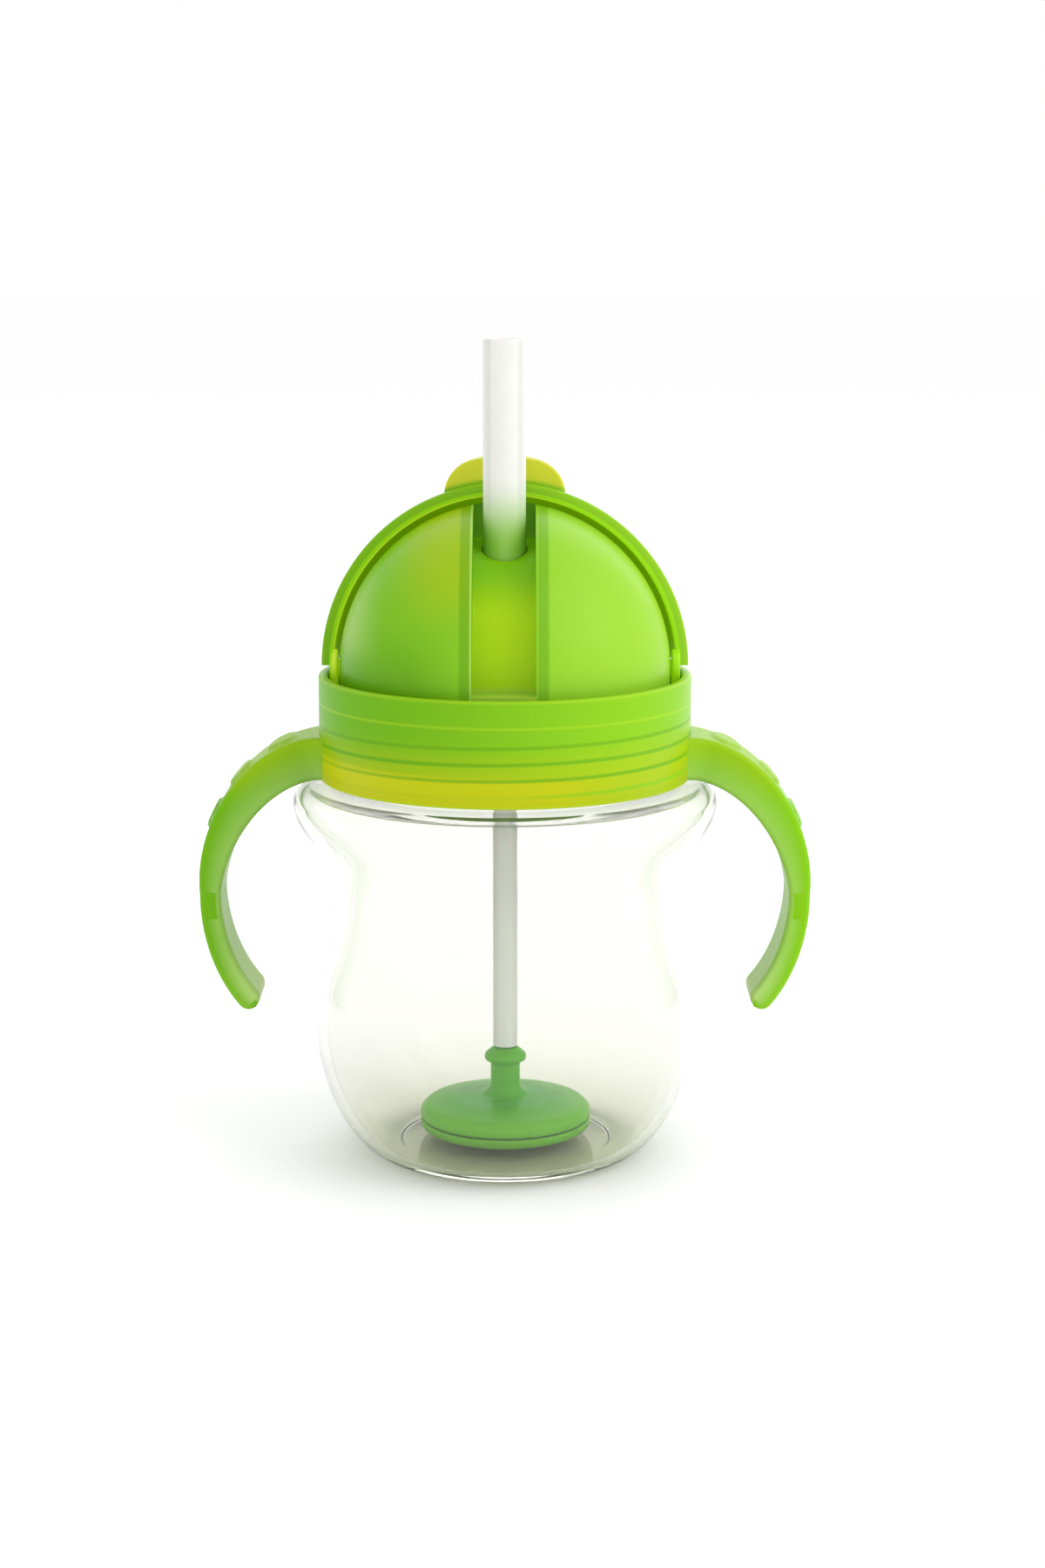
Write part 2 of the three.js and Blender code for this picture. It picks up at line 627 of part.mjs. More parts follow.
// The half-round tab that stands on the cover just behind its front edge.
function thumbTab() {
  const half = TAB_WIDTH / 2;
  const rootRadius = coverRadius - COVER_WALL / 2;
  const foot = rootRadius - TAB_ROOT;
  const tip = coverRadius + TAB_REACH;
  const bulge = foot + TAB_FULLNESS * (tip - foot);
  const shape = new THREE.Shape();
  shape.moveTo(-half, foot);
  shape.lineTo(half, foot);
  shape.bezierCurveTo(half, bulge, TAB_FULLNESS * half, tip, 0, tip);
  shape.bezierCurveTo(-TAB_FULLNESS * half, tip, -half, bulge, -half, foot);
  const geometry = new THREE.ExtrudeGeometry(shape, {
    depth: TAB_THICK - 2 * TAB_EDGE,
    bevelThickness: TAB_EDGE,
    bevelSize: TAB_EDGE,
    bevelOffset: -TAB_EDGE,
    bevelSegments: 2,
    curveSegments: 10,
  });
  geometry.translate(0, 0, TAB_EDGE - TAB_THICK / 2);
  geometry.rotateX(Math.PI / 2);
  geometry.rotateX(-toRadians(TAB_ANGLE));
  geometry.translate(0, 0, pivotZ);
  return solid(geometry).subtract(sphere(rootRadius));
}

// ---- Seal, straws and connector ----
function makeSeal() {
  const bore = plugRadius + REST_GAP;
  return ring(bore + SEAL_WIDTH, bore, sealBottom, sealBottom + SEAL_THICKNESS);
}

// The silicone stem: from the fold line down through the dome's boss and in to the axis.
function makeStem() {
  const top = new THREE.Vector3(0, -STRAW_OFFSET, foldZ - REST_GAP / 2);
  const bendTop = new THREE.Vector3(0, -STRAW_OFFSET, bendTopZ);
  const bendBottom = new THREE.Vector3(0, 0, bendBottomZ);
  const bottom = bendBottom.clone().setZ(stemEndZ + FLEX_GAP / 2);
  const drop = (bendTop.z - bendBottom.z) / 2;
  const route = new THREE.CurvePath();
  route.add(new THREE.LineCurve3(top, bendTop));
  route.add(
    new THREE.CubicBezierCurve3(
      bendTop,
      bendTop.clone().setZ(bendTop.z - drop),
      bendBottom.clone().setZ(bendBottom.z + drop),
      bendBottom,
    ),
  );
  route.add(new THREE.LineCurve3(bendBottom, bottom));
  const stem = tubeAlong(route, STRAW_RADIUS, STRAW_BORE_RADIUS, 16);
  const flange = ring(
    bossRadius,
    (STRAW_RADIUS + STRAW_BORE_RADIUS) / 2,
    flangeTop - FLANGE_THICK,
    flangeTop,
    SMALL_SIDES,
  ).translate([0, -STRAW_OFFSET, 0]);
  return stem.add(flange);
}

// One short length of the drinking straw, between two of its fold lines.
function strawLength(index) {
  const length = STRAW_STANDS / STRAW_PIECES;
  const from = foldZ + index * length + REST_GAP / 2;
  const to = foldZ + (index + 1) * length - (index < STRAW_PIECES - 1 ? REST_GAP / 2 : 0);
  return ring(STRAW_RADIUS, STRAW_BORE_RADIUS, from, to, SMALL_SIDES).translate([0, -STRAW_OFFSET, 0]);
}

// The cap that holds the stem's flange up against the boss.
function makeHolder() {
  const sleeve = ring(holderRadius, holderBore, holderBottom, bossBottom + HOLDER_GRIP, SMALL_SIDES);
  const lip = ring(holderBore + EMBED, strawHole, holderBottom, holderBottom + HOLDER_WALL, SMALL_SIDES);
  return sleeve.add(lip).translate([0, -STRAW_OFFSET, 0]);
}

// The hard connector: a thick middle with a nipple up into the stem and one down into the tube.
function makeConnector() {
  const barrelTop = (connectorTop + connectorBottom + CONNECTOR_BARREL) / 2;
  const barrelBottom = barrelTop - CONNECTOR_BARREL;
  const lowerNipple = TUBE_BORE_RADIUS - NIPPLE_CLEARANCE;
  const upperNipple = STRAW_BORE_RADIUS - 2 * NIPPLE_CLEARANCE;
  const lowerShoulder = TUBE_RADIUS + CONNECTOR_STEP;
  const upperShoulder = STRAW_BORE_RADIUS + CONNECTOR_STEP;
  return revolve(
    [
      point(NIPPLE_BORE_RADIUS, connectorBottom - NIPPLE_LENGTH),
      point(lowerNipple, connectorBottom - NIPPLE_LENGTH),
      point(lowerNipple, connectorBottom),
      point(lowerShoulder, connectorBottom),
      point(lowerShoulder, barrelBottom),
      point(CONNECTOR_RADIUS, barrelBottom),
      point(CONNECTOR_RADIUS, barrelTop),
      point(upperShoulder, barrelTop),
      point(upperShoulder, connectorTop),
      point(upperNipple, connectorTop),
      point(upperNipple, connectorTop + NIPPLE_LENGTH),
      point(NIPPLE_BORE_RADIUS, connectorTop + NIPPLE_LENGTH),
      point(NIPPLE_BORE_RADIUS, connectorBottom - NIPPLE_LENGTH),
    ],
    SMALL_SIDES,
  );
}

function makeTube() {
  const tubeBottom = knobBottom + KNOB_HEIGHT + REST_GAP;
  return ring(TUBE_RADIUS, TUBE_BORE_RADIUS, tubeBottom, connectorBottom - FLEX_GAP, SMALL_SIDES);
}

// ---- Weight: a case in two halves round a steel disc, with the stem that plugs into the tube ----
const weightSplit = weightBottom + WEIGHT_SPLIT;
const weightBore = WEIGHT_RADIUS - WEIGHT_WALL;
const steelTop = weightTop - WEIGHT_EDGE - REST_GAP;

function makeWeightTop() {
  const nub = TUBE_BORE_RADIUS - REST_GAP;
  const nubBore = nub - NUB_WALL;
  const shoulder = 0.6 * WEIGHT_RADIUS;
  const shoulderTopZ = weightTop + 0.7 * WEIGHT_CROWN;
  const crown = weightTop + WEIGHT_CROWN;
  return revolve(
    [
      point(weightBore, weightSplit + REST_GAP / 2),
      point(WEIGHT_RADIUS, weightSplit + REST_GAP / 2),
      point(WEIGHT_RADIUS, weightTop - WEIGHT_EDGE),
      point(WEIGHT_RADIUS - WEIGHT_EDGE, weightTop),
      point(shoulder, shoulderTopZ),
      point(STEM_RADIUS, crown),
      point(STEM_RADIUS, knobBottom),
      point(KNOB_RADIUS, knobBottom + REST_GAP),
      point(KNOB_RADIUS, knobBottom + 0.5 * KNOB_HEIGHT),
      point(TUBE_RADIUS, knobBottom + KNOB_HEIGHT),
      point(nub, knobBottom + KNOB_HEIGHT),
      point(nub, nubTop),
      point(nubBore, nubTop),
      point(nubBore, crown - WEIGHT_WALL),
      point(shoulder, shoulderTopZ - WEIGHT_WALL),
      point(weightBore, weightTop - WEIGHT_EDGE),
      point(weightBore, weightSplit + REST_GAP / 2),
    ],
    WEIGHT_SIDES,
  );
}

function makeWeightBase() {
  return revolve(
    [
      point(INTAKE_RADIUS, weightBottom),
      point(WEIGHT_RADIUS - WEIGHT_EDGE, weightBottom),
      point(WEIGHT_RADIUS - 0.3 * WEIGHT_EDGE, weightBottom + 0.4 * WEIGHT_EDGE),
      point(WEIGHT_RADIUS, weightBottom + WEIGHT_EDGE),
      point(WEIGHT_RADIUS, weightSplit - REST_GAP / 2),
      point(weightBore, weightSplit - REST_GAP / 2),
      point(weightBore, weightBottom + WEIGHT_WALL),
      point(INTAKE_RADIUS, weightBottom + WEIGHT_WALL),
      point(INTAKE_RADIUS, weightBottom),
    ],
    WEIGHT_SIDES,
  );
}

function makeSteel() {
  const bottom = weightBottom + WEIGHT_WALL + REST_GAP;
  return ring(weightBore - REST_GAP, INTAKE_RADIUS, bottom, steelTop, WEIGHT_SIDES);
}

// ---- Assembly ----
const cup = new THREE.Group();
cup.add(piece("cup_body", makeCup(), clearPlastic));

const lid = new THREE.Group();
lid.add(piece("lid_seal", makeSeal(), sealWhite));
lid.add(piece("lid_collar", makeCollar(), greenPlastic));
lid.add(piece("lid_dome", makeDome(), greenPlastic));
lid.add(piece("straw_holder", makeHolder(), hardClear));
lid.add(piece("flip_cover", makeCover(), greenPlastic));
lid.add(piece("straw_stem", makeStem(), softWhite));
for (let i = 0; i < STRAW_PIECES; i++)
  lid.add(piece(`straw_${i + 1}`, strawLength(i), softWhite));

const lowerStraw = new THREE.Group();
lowerStraw.add(piece("tube_connector", makeConnector(), hardClear));
lowerStraw.add(piece("lower_tube", makeTube(), softWhite));
lowerStraw.add(piece("weight_top", makeWeightTop(), deepGreenPlastic));
lowerStraw.add(piece("weight_base", makeWeightBase(), deepGreenPlastic));
lowerStraw.add(piece("steel_weight", makeSteel(), steel));

const sippyCup = new THREE.Group();
sippyCup.add(cup, lid, lowerStraw);

export default sippyCup;
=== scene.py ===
import math

import bpy
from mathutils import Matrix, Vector


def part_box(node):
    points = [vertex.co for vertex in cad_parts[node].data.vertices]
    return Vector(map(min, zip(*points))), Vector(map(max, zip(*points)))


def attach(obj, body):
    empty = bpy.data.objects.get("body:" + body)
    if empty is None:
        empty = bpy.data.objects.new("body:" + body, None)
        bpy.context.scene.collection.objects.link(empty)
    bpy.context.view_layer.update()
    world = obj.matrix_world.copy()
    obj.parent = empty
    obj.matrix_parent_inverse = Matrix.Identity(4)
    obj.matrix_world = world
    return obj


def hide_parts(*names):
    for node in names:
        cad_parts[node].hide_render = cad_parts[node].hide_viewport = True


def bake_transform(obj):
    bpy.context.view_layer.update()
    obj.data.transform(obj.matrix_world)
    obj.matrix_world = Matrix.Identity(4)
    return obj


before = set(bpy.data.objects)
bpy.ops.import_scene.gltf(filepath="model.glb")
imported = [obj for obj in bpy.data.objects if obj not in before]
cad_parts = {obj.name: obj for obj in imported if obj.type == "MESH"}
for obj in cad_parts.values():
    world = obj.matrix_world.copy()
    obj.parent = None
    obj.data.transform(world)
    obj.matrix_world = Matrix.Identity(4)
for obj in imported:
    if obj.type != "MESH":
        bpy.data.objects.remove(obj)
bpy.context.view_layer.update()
mm = 0.001

# ---- Room ----
# A white sweep of floor under an even white sky, with a large soft lamp high on the right and a
# weaker one on the left, so that the shadow falls softly to the left of the cup's foot.
bpy.ops.object.select_all(action="DESELECT")
bpy.ops.object.camera_add(location=(0.0034, -0.572, 0.182), rotation=(math.radians(79.2), 0, 0))
camera = bpy.context.object
camera.data.lens = 68.7
camera.data.sensor_width = 36
bpy.context.scene.camera = camera

bpy.ops.object.select_all(action="DESELECT")
bpy.ops.mesh.primitive_plane_add(size=12, location=(0, 0, -0.0002))
floor = bpy.context.object
floor.name = "floor"
floor_white = bpy.data.materials.new("floor_white")
floor_white.use_nodes = True
floor_shader = floor_white.node_tree.nodes["Principled BSDF"]
floor_shader.inputs["Base Color"].default_value = (0.985, 0.985, 0.985, 1)
floor_shader.inputs["Roughness"].default_value = 0.9
floor.data.materials.append(floor_white)

CUP_MIDDLE = Vector((0, 0, 0.08))
for name, place, size, power in (
    ("key", (0.95, -0.45, 0.8), 1.0, 6),
    ("fill", (-1.1, -0.7, 0.6), 1.4, 1.5),
    ("back", (0.3, 1.1, 0.8), 1.2, 4),
):
    bpy.ops.object.select_all(action="DESELECT")
    bpy.ops.object.light_add(type="AREA", location=place)
    lamp = bpy.context.object
    lamp.name = name
    lamp.data.energy = power
    lamp.data.size = size
    lamp.rotation_euler = (CUP_MIDDLE - Vector(place)).to_track_quat("-Z", "Y").to_euler()

sky = bpy.data.worlds.new("sky")
bpy.context.scene.world = sky
sky.use_nodes = True
sky.node_tree.nodes["Background"].inputs["Color"].default_value = (1, 1, 1, 1)
sky.node_tree.nodes["Background"].inputs["Strength"].default_value = 1.0
bpy.context.scene.view_settings.view_transform = "Standard"

# ---- Cup body ----
# Blow-moulded clear plastic with a slight milkiness: a round belly, a waist for small hands, a
# bulging shoulder and a straight neck. The floor is thicker, so it looks a little olive.
FOOT = 24.5 * mm
BELLY = 37.2 * mm
BELLY_Z = 26 * mm
WAIST = 33.2 * mm
WAIST_Z = 52 * mm
SHOULDER_Z = 70 * mm
SHOULDER_CAP = 3.9 * mm
NECK = 32 * mm
CUP_WALL = 2 * mm
RIM_ROUND = 0.7 * mm
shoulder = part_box("cup_body")[1].x
rim_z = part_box("cup_body")[1].z


class Socket:
    """One value in a material: sums and products of it add Math nodes, and node() adds any other."""

    def __init__(self, tree, source=None):
        self.tree = tree
        self.source = source

    def node(self, kind, settings, inputs, output=0):
        made = self.tree.nodes.new(kind)
        for key, value in settings.items():
            if key == "stops":
                ramp = made.color_ramp
                while len(ramp.elements) < len(value):
                    ramp.elements.new(0.5)
                for stop, (place, colour) in zip(ramp.elements, value):
                    stop.position = place
                    stop.color = (*colour, 1)
            else:
                setattr(made, key, value)
        for key, value in inputs.items():
            if isinstance(value, Socket):
                self.tree.links.new(value.source, made.inputs[key])
            else:
                made.inputs[key].default_value = value
        return Socket(self.tree, made.outputs[output])

    def math(self, operation, first, second=0.0):
        return self.node("ShaderNodeMath", {"operation": operation}, {0: first, 1: second})

    def __add__(self, other):
        return self.math("ADD", self, other)

    def __sub__(self, other):
        return self.math("SUBTRACT", self, other)

    def __rsub__(self, other):
        return self.math("SUBTRACT", other, self)

    def __mul__(self, other):
        return self.math("MULTIPLY", self, other)

    def __truediv__(self, other):
        return self.math("DIVIDE", self, other)

    __radd__ = __add__
    __rmul__ = __mul__

    def ramp(self, low, high):
        """0 below low, 1 above high, and smooth between them."""
        return self.node(
            "ShaderNodeMapRange", {"interpolation_type": "SMOOTHSTEP"},
            {"Value": self, "From Min": low, "From Max": high},
        )

    def band(self, rise, full, fade, gone):
        """1 from full to fade, and 0 below rise and above gone."""
        return self.ramp(rise, full) * (1 - self.ramp(fade, gone))

    def mix(self, colour_a, colour_b):
        """colour_a where this value is 0, and colour_b where it is 1."""
        full = [c if isinstance(c, Socket) else (*c, 1) for c in (colour_a, colour_b)]
        return self.node(
            "ShaderNodeMix", {"data_type": "RGBA"}, {0: self, 6: full[0], 7: full[1]}, output=2
        )


def moulded(name, roughness, transmission=0.0, ior=1.49, subsurface=0.0):
    """A new plastic: its material, its shader, its Object coordinates and their X, Y and Z."""
    material = bpy.data.materials.new(name)
    material.use_nodes = True
    shader = material.node_tree.nodes["Principled BSDF"]
    shader.inputs["Roughness"].default_value = roughness
    shader.inputs["Transmission Weight"].default_value = transmission
    shader.inputs["IOR"].default_value = ior
    shader.inputs["Subsurface Weight"].default_value = subsurface
    shader.inputs["Subsurface Scale"].default_value = 2 * mm
    start = Socket(material.node_tree)
    place = start.node("ShaderNodeTexCoord", {}, {}, output=3)
    x, y, z = (start.node("ShaderNodeSeparateXYZ", {}, {0: place}, output=i) for i in range(3))
    return material, shader, place, (x, y, z)


def dress(shader, tree, **links):
    """Joins worked-out values to the shader's inputs."""
    for key, value in links.items():
        tree.links.new(value.source, shader.inputs[key.replace("_", " ")])


def ripple(place, size, height, detail=2.0):
    """The slight unevenness that a mould leaves, as a normal. size and height are in metres."""
    noise = place.node("ShaderNodeTexNoise", {}, {"Vector": place, "Scale": 1 / size, "Detail": detail})
    return place.node("ShaderNodeBump", {}, {"Height": noise, "Distance": height, "Strength": 1.0})


def curve(start, leave, arrive, end, steps):
    """The points of a cubic curve after its start, up to its end."""
    corners = (start, leave, arrive, end)
    points = []
    for i in range(1, steps + 1):
        t = i / steps
        shares = ((1 - t) ** 3, 3 * t * (1 - t) ** 2, 3 * t * t * (1 - t), t ** 3)
        points.append(tuple(sum(s * p[k] for s, p in zip(shares, corners)) for k in (0, 1)))
    return points


def wire(name, points):
    """A chain of edges through the points, drawn by extruding one vertex. It stays in edit mode."""
    bpy.ops.object.select_all(action="DESELECT")
    bpy.ops.mesh.primitive_plane_add(size=0.01)
    made = bpy.context.object
    made.name = name
    bpy.ops.object.mode_set(mode="EDIT")
    bpy.context.tool_settings.mesh_select_mode = (True, False, False)
    bpy.ops.mesh.select_all(action="SELECT")
    bpy.ops.mesh.merge(type="CENTER")
    bpy.ops.transform.translate(value=points[0])
    for here, there in zip(points, points[1:]):
        step = tuple(b - a for a, b in zip(here, there))
        bpy.ops.mesh.extrude_vertices_move(TRANSFORM_OT_translate={"value": step})
    bpy.ops.mesh.select_all(action="SELECT")
    return made


def finish_mesh(smooth_angle):
    """Joins the doubles of the mesh in edit mode, turns its faces out and shades it."""
    bpy.ops.mesh.select_all(action="SELECT")
    bpy.ops.mesh.remove_doubles(threshold=0.002 * mm)
    bpy.ops.mesh.normals_make_consistent(inside=False)
    bpy.ops.object.mode_set(mode="OBJECT")
    bpy.ops.object.shade_smooth_by_angle(angle=math.radians(smooth_angle))


def turned(name, outline, sides=128, smooth_angle=35, lean_y=0.0):
    """Spins an outline of (radius, height) points about a vertical line at y = lean_y."""
    made = wire(name, [(r, 0, z) for r, z in outline])
    bpy.ops.mesh.remove_doubles(threshold=0.002 * mm)
    bpy.ops.mesh.select_all(action="SELECT")
    bpy.ops.mesh.spin(steps=sides, angle=2 * math.pi, center=(0, 0, 0), axis=(0, 0, 1))
    bpy.ops.mesh.select_all(action="SELECT")
    bpy.ops.transform.translate(value=(0, lean_y, 0))
    finish_mesh(smooth_angle)
    return made


def rounded(corners, radius, steps=4):
    """The corners of an outline with each one rounded, except where the outline starts and ends."""
    points = [corners[0]]
    for before, corner, after in zip(corners, corners[1:], corners[2:]):
        here = Vector(corner)
        back = Vector(before) - here
        on = Vector(after) - here
        reach = min(radius, 0.45 * back.length, 0.45 * on.length)
        start = here + reach * back.normalized()
        end = here + reach * on.normalized()
        for i in range(steps + 1):
            t = i / steps
            points.append(tuple((1 - t) ** 2 * start + 2 * t * (1 - t) * here + t * t * end))
    points.append(corners[-1])
    return points


shoulder_top = SHOULDER_Z + SHOULDER_CAP
flat = shoulder - SHOULDER_CAP
waist_rise = WAIST_Z - BELLY_Z
shoulder_rise = SHOULDER_Z - WAIST_Z
outside = [(FOOT, 0.0)]
outside += curve(
    (FOOT, 0), (FOOT + 0.4 * (BELLY - FOOT), 0.03 * BELLY_Z), (BELLY, 0.46 * BELLY_Z), (BELLY, BELLY_Z), 16
)
outside += curve(
    (BELLY, BELLY_Z), (BELLY, BELLY_Z + 0.31 * waist_rise),
    (WAIST, WAIST_Z - 0.35 * waist_rise), (WAIST, WAIST_Z), 14,
)
outside += curve(
    (WAIST, WAIST_Z), (WAIST, WAIST_Z + 0.47 * shoulder_rise),
    (shoulder, SHOULDER_Z - 0.36 * shoulder_rise), (shoulder, SHOULDER_Z), 14,
)
outside += curve(
    (shoulder, SHOULDER_Z), (shoulder, SHOULDER_Z + 0.55 * SHOULDER_CAP),
    (flat + 0.45 * SHOULDER_CAP, shoulder_top), (flat, shoulder_top), 8,
)
cup_floor = 2.1 * mm
floor_edge = 0.3 * mm
inside = []
for before, here, after in zip(outside, outside[1:], outside[2:]):
    along = (Vector(after) - Vector(before)).normalized()
    point = (here[0] - CUP_WALL * along.y, here[1] + CUP_WALL * along.x)
    if cup_floor + floor_edge < point[1] < shoulder_top - CUP_WALL:
        inside.append(point)
neck_bore = NECK - CUP_WALL
foot_recess = FOOT - 4 * mm
foot_hollow = 0.7 * mm
neck_outline = rounded(
    [
        (flat, shoulder_top), (NECK, shoulder_top), (NECK, rim_z), (neck_bore, rim_z),
        (neck_bore, shoulder_top - CUP_WALL), inside[-1],
    ],
    RIM_ROUND,
)
foot_outline = rounded(
    [(0, foot_hollow), (foot_recess, foot_hollow), (foot_recess + foot_hollow, 0), outside[0]], 0.5 * mm
)
floor_outline = [(FOOT - floor_edge, cup_floor), (0, cup_floor)]
cup = turned(
    "cup_shell", foot_outline + outside[1:-1] + neck_outline + inside[-2::-1] + floor_outline, sides=160
)

cup_clear, shader, place, (x, y, z) = moulded("cup_clear", 0.03, transmission=0.965, ior=1.18)
base_tint = z.ramp(16 * mm, 1 * mm)
shade = base_tint.mix((0.935, 0.937, 0.908), (0.90, 0.92, 0.78))
cloud = place.node("ShaderNodeTexNoise", {}, {"Vector": place, "Scale": 55.0, "Detail": 3.0})
dress(
    shader, cup_clear.node_tree, Base_Color=shade, Roughness=0.015 + cloud * 0.035,
    Normal=ripple(place, 18 * mm, 0.04 * mm),
)
cup.data.materials.append(cup_clear)
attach(cup, "cup")
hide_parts("cup_body")


# ---- Screw threads ----
# A ridge of three turns round the neck, and one inside the collar that runs half a pitch above
# it. Both are right-handed and die away at their ends.
PITCH = 3.05 * mm
NECK_THREAD_Z = shoulder_top + 3.4 * mm
RIDGE_ROOT_HALF = 0.62 * mm
RIDGE_CREST_HALF = 0.3 * mm
RIDGE_SUNK = 0.3 * mm
RIDGE_RISE = 1.45 * mm
TURN_STEPS = 96
FADE_STEPS = 12


def thread(name, root, crest, start_z, turns):
    """A helical ridge from its root radius to its crest radius, on a closed section."""
    lower_half = [(root, -RIDGE_ROOT_HALF), (crest, -RIDGE_CREST_HALF)]
    upper_half = [(crest, RIDGE_CREST_HALF), (root, RIDGE_ROOT_HALF)]
    outline = rounded(lower_half + upper_half, 0.3 * mm, 3)
    made = wire(name, [(r, 0, z) for r, z in outline])
    bpy.ops.mesh.edge_face_add()
    bpy.ops.object.mode_set(mode="OBJECT")
    section = [v.co.copy() for v in made.data.vertices]
    steps = round(turns * TURN_STEPS)
    bpy.ops.object.mode_set(mode="EDIT")
    for i in range(steps):
        bpy.ops.mesh.extrude_region_move(TRANSFORM_OT_translate={"value": (0, 0, 1 * mm)})
    bpy.ops.object.mode_set(mode="OBJECT")
    for ring in range(steps + 1):
        turn = 2 * math.pi * ring / TURN_STEPS
        lift = start_z + PITCH * ring / TURN_STEPS
        grown = min(1.0, (ring + 1) / FADE_STEPS, (steps - ring + 1) / FADE_STEPS)
        for k, flat_point in enumerate(section):
            radius = root + (flat_point.x - root) * grown
            made.data.vertices[ring * len(section) + k].co = (
                radius * math.cos(turn), radius * math.sin(turn), lift + flat_point.z,
            )
    bpy.ops.object.mode_set(mode="EDIT")
    finish_mesh(40)
    return made


neck_thread = thread("neck_thread", NECK - RIDGE_SUNK, NECK + RIDGE_RISE, NECK_THREAD_Z, 3)
neck_thread.data.materials.append(cup_clear)
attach(neck_thread, "cup")


# ---- Seal ----
# A flat ring of milky silicone on the neck's rim, pressed by the lid. Its shape is the packed
# one, and it only needs its material.
seal_silicone, shader, place, _ = moulded("seal_silicone", 0.5, subsurface=0.3)
mottle = place.node("ShaderNodeTexNoise", {}, {"Vector": place, "Scale": 220.0, "Detail": 2.0})
dress(
    shader, seal_silicone.node_tree, Base_Color=mottle.mix((0.80, 0.81, 0.76), (0.90, 0.90, 0.86)),
    Roughness=0.45 + 0.2 * mottle, Normal=ripple(place, 2 * mm, 0.03 * mm),
)
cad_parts["lid_seal"].material_slots[0].material = seal_silicone

# ---- Lid collar ----
# Injection-moulded lime plastic that glows where light passes through it: a skirt over the neck
# with its thread inside, a ledge that carries the dome, a plug sleeve and a low ring on top.
COLLAR = 36 * mm
COLLAR_BORE = 34.2 * mm
SKIRT_Z = 74.8 * mm
RING_Z = 94.8 * mm
LEDGE_TOP = 91.4 * mm
LEDGE_UNDER = 89.9 * mm
PLUG_FOOT = 86.1 * mm
PLUG = 29.4 * mm
PLUG_BORE = 28.1 * mm


def lathe(name, corners, corner_round, sides, lean_y=0.0):
    """Turns a closed outline with every corner rounded but its first."""
    return turned(name, rounded([*corners, corners[0]], corner_round), sides, lean_y=lean_y)


def lime(name, deep, lit_side, glow=0.05):
    """The lid's lime plastic: painted shade makes it deep to the left, painted light bright to the right,
    and a faint emission gives it a painted glow; its colour is given last.
    """
    material, shader, place, axes = moulded(name, 0.36, subsurface=0.12)
    shader.inputs["Specular IOR Level"].default_value = 0.12
    shader.inputs["Coat Weight"].default_value = 0.05
    shader.inputs["Coat Roughness"].default_value = 0.25
    # Painted light: the plastic is shaded on the left and lit on the right, the side of the key lamp.
    across = axes[0].ramp(-34 * mm, 36 * mm)
    cloud = place.node("ShaderNodeTexNoise", {}, {"Vector": place, "Scale": 38.0, "Detail": 3.0})
    base = (across * 0.86 + cloud * 0.14).mix(deep, lit_side)
    fine = place.node("ShaderNodeTexNoise", {}, {"Vector": place, "Scale": 700.0, "Detail": 2.0})
    dress(
        shader, material.node_tree, Roughness=0.31 + 0.1 * fine,
        Normal=ripple(place, 9 * mm, 0.08 * mm),
    )
    # Painted glow: a faint emission, as if light shone through the plastic.
    shader.inputs["Emission Strength"].default_value = glow
    return material, shader, place, axes, base


collar = lathe(
    "lid_ring",
    [
        (COLLAR_BORE, LEDGE_UNDER), (COLLAR_BORE, SKIRT_Z), (COLLAR, SKIRT_Z),
        (COLLAR, RING_Z), (COLLAR_BORE, RING_Z), (COLLAR_BORE, LEDGE_TOP),
        (PLUG_BORE, LEDGE_TOP), (PLUG_BORE, PLUG_FOOT), (PLUG, PLUG_FOOT),
        (PLUG, LEDGE_UNDER),
    ],
    0.5 * mm, 192,
)

# Inside the skirt's colour: the neck's thread, seen through the skirt, painted as darker lines; painted
# light that pools low and to the left and between the lines; and painted highlights at the foot, at the
# top and in a faint line above the thread. The same colour is its emission, a painted glow.
# The lime's shaded and lit colours, for the painted light across it, and a yellow for painted glow.
LIME_SHADED = (0.125, 0.36, 0.0)
LIME_LIT = (0.24, 0.53, 0.008)
GLOW_YELLOW = (0.46, 0.50, 0.0)
THREAD_FOOT = 79 * mm
lime_collar, shader, place, (x, y, z), base = lime("lime_collar", LIME_SHADED, LIME_LIT)
angle = place.math("ARCTAN2", y, x) / (2 * math.pi)
turn = place.math("FRACT", (z - NECK_THREAD_Z) / PITCH - angle)
line = turn.band(0.0, 0.12, 0.2, 0.34)
threaded = z.band(THREAD_FOOT, 80 * mm, 87.4 * mm, 89 * mm)
low_glow = (1 - z.ramp(79.2 * mm, 81.2 * mm)) * (1 - 0.9 * x.ramp(-4 * mm, 26 * mm))
glow_between_lines = (1 - z.ramp(THREAD_FOOT, 88.5 * mm)) * 0.5
glow_tone = (low_glow * 0.85 + glow_between_lines * (1 - line)).mix(base, GLOW_YELLOW)
banded = (threaded * line * 0.5).mix(glow_tone, (0.10, 0.30, 0.0))
# Painted highlights at the foot, at the top ring and in a faint line above the thread.
foot_highlight = 1 - z.ramp(SKIRT_Z + 0.1 * mm, SKIRT_Z + 0.7 * mm)
top_highlight = z.ramp(RING_Z - 0.7 * mm, RING_Z - 0.2 * mm)
faint_highlight_line = z.band(89.4 * mm, 89.7 * mm, 89.9 * mm, 90.2 * mm) * 0.35
lit = (foot_highlight * 0.9 + top_highlight * 0.2 + faint_highlight_line * 0.6).mix(banded, (0.50, 0.70, 0.02))
dress(shader, lime_collar.node_tree, Base_Color=lit, Emission_Color=lit)
collar.data.materials.append(lime_collar)

collar_thread = thread(
    "collar_thread", COLLAR_BORE + RIDGE_SUNK, COLLAR_BORE - RIDGE_RISE, NECK_THREAD_Z + PITCH / 2, 2.4
)
collar_thread.data.materials.append(lime_collar)
for piece in (collar, collar_thread):
    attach(piece, "lid")
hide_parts("lid_collar")

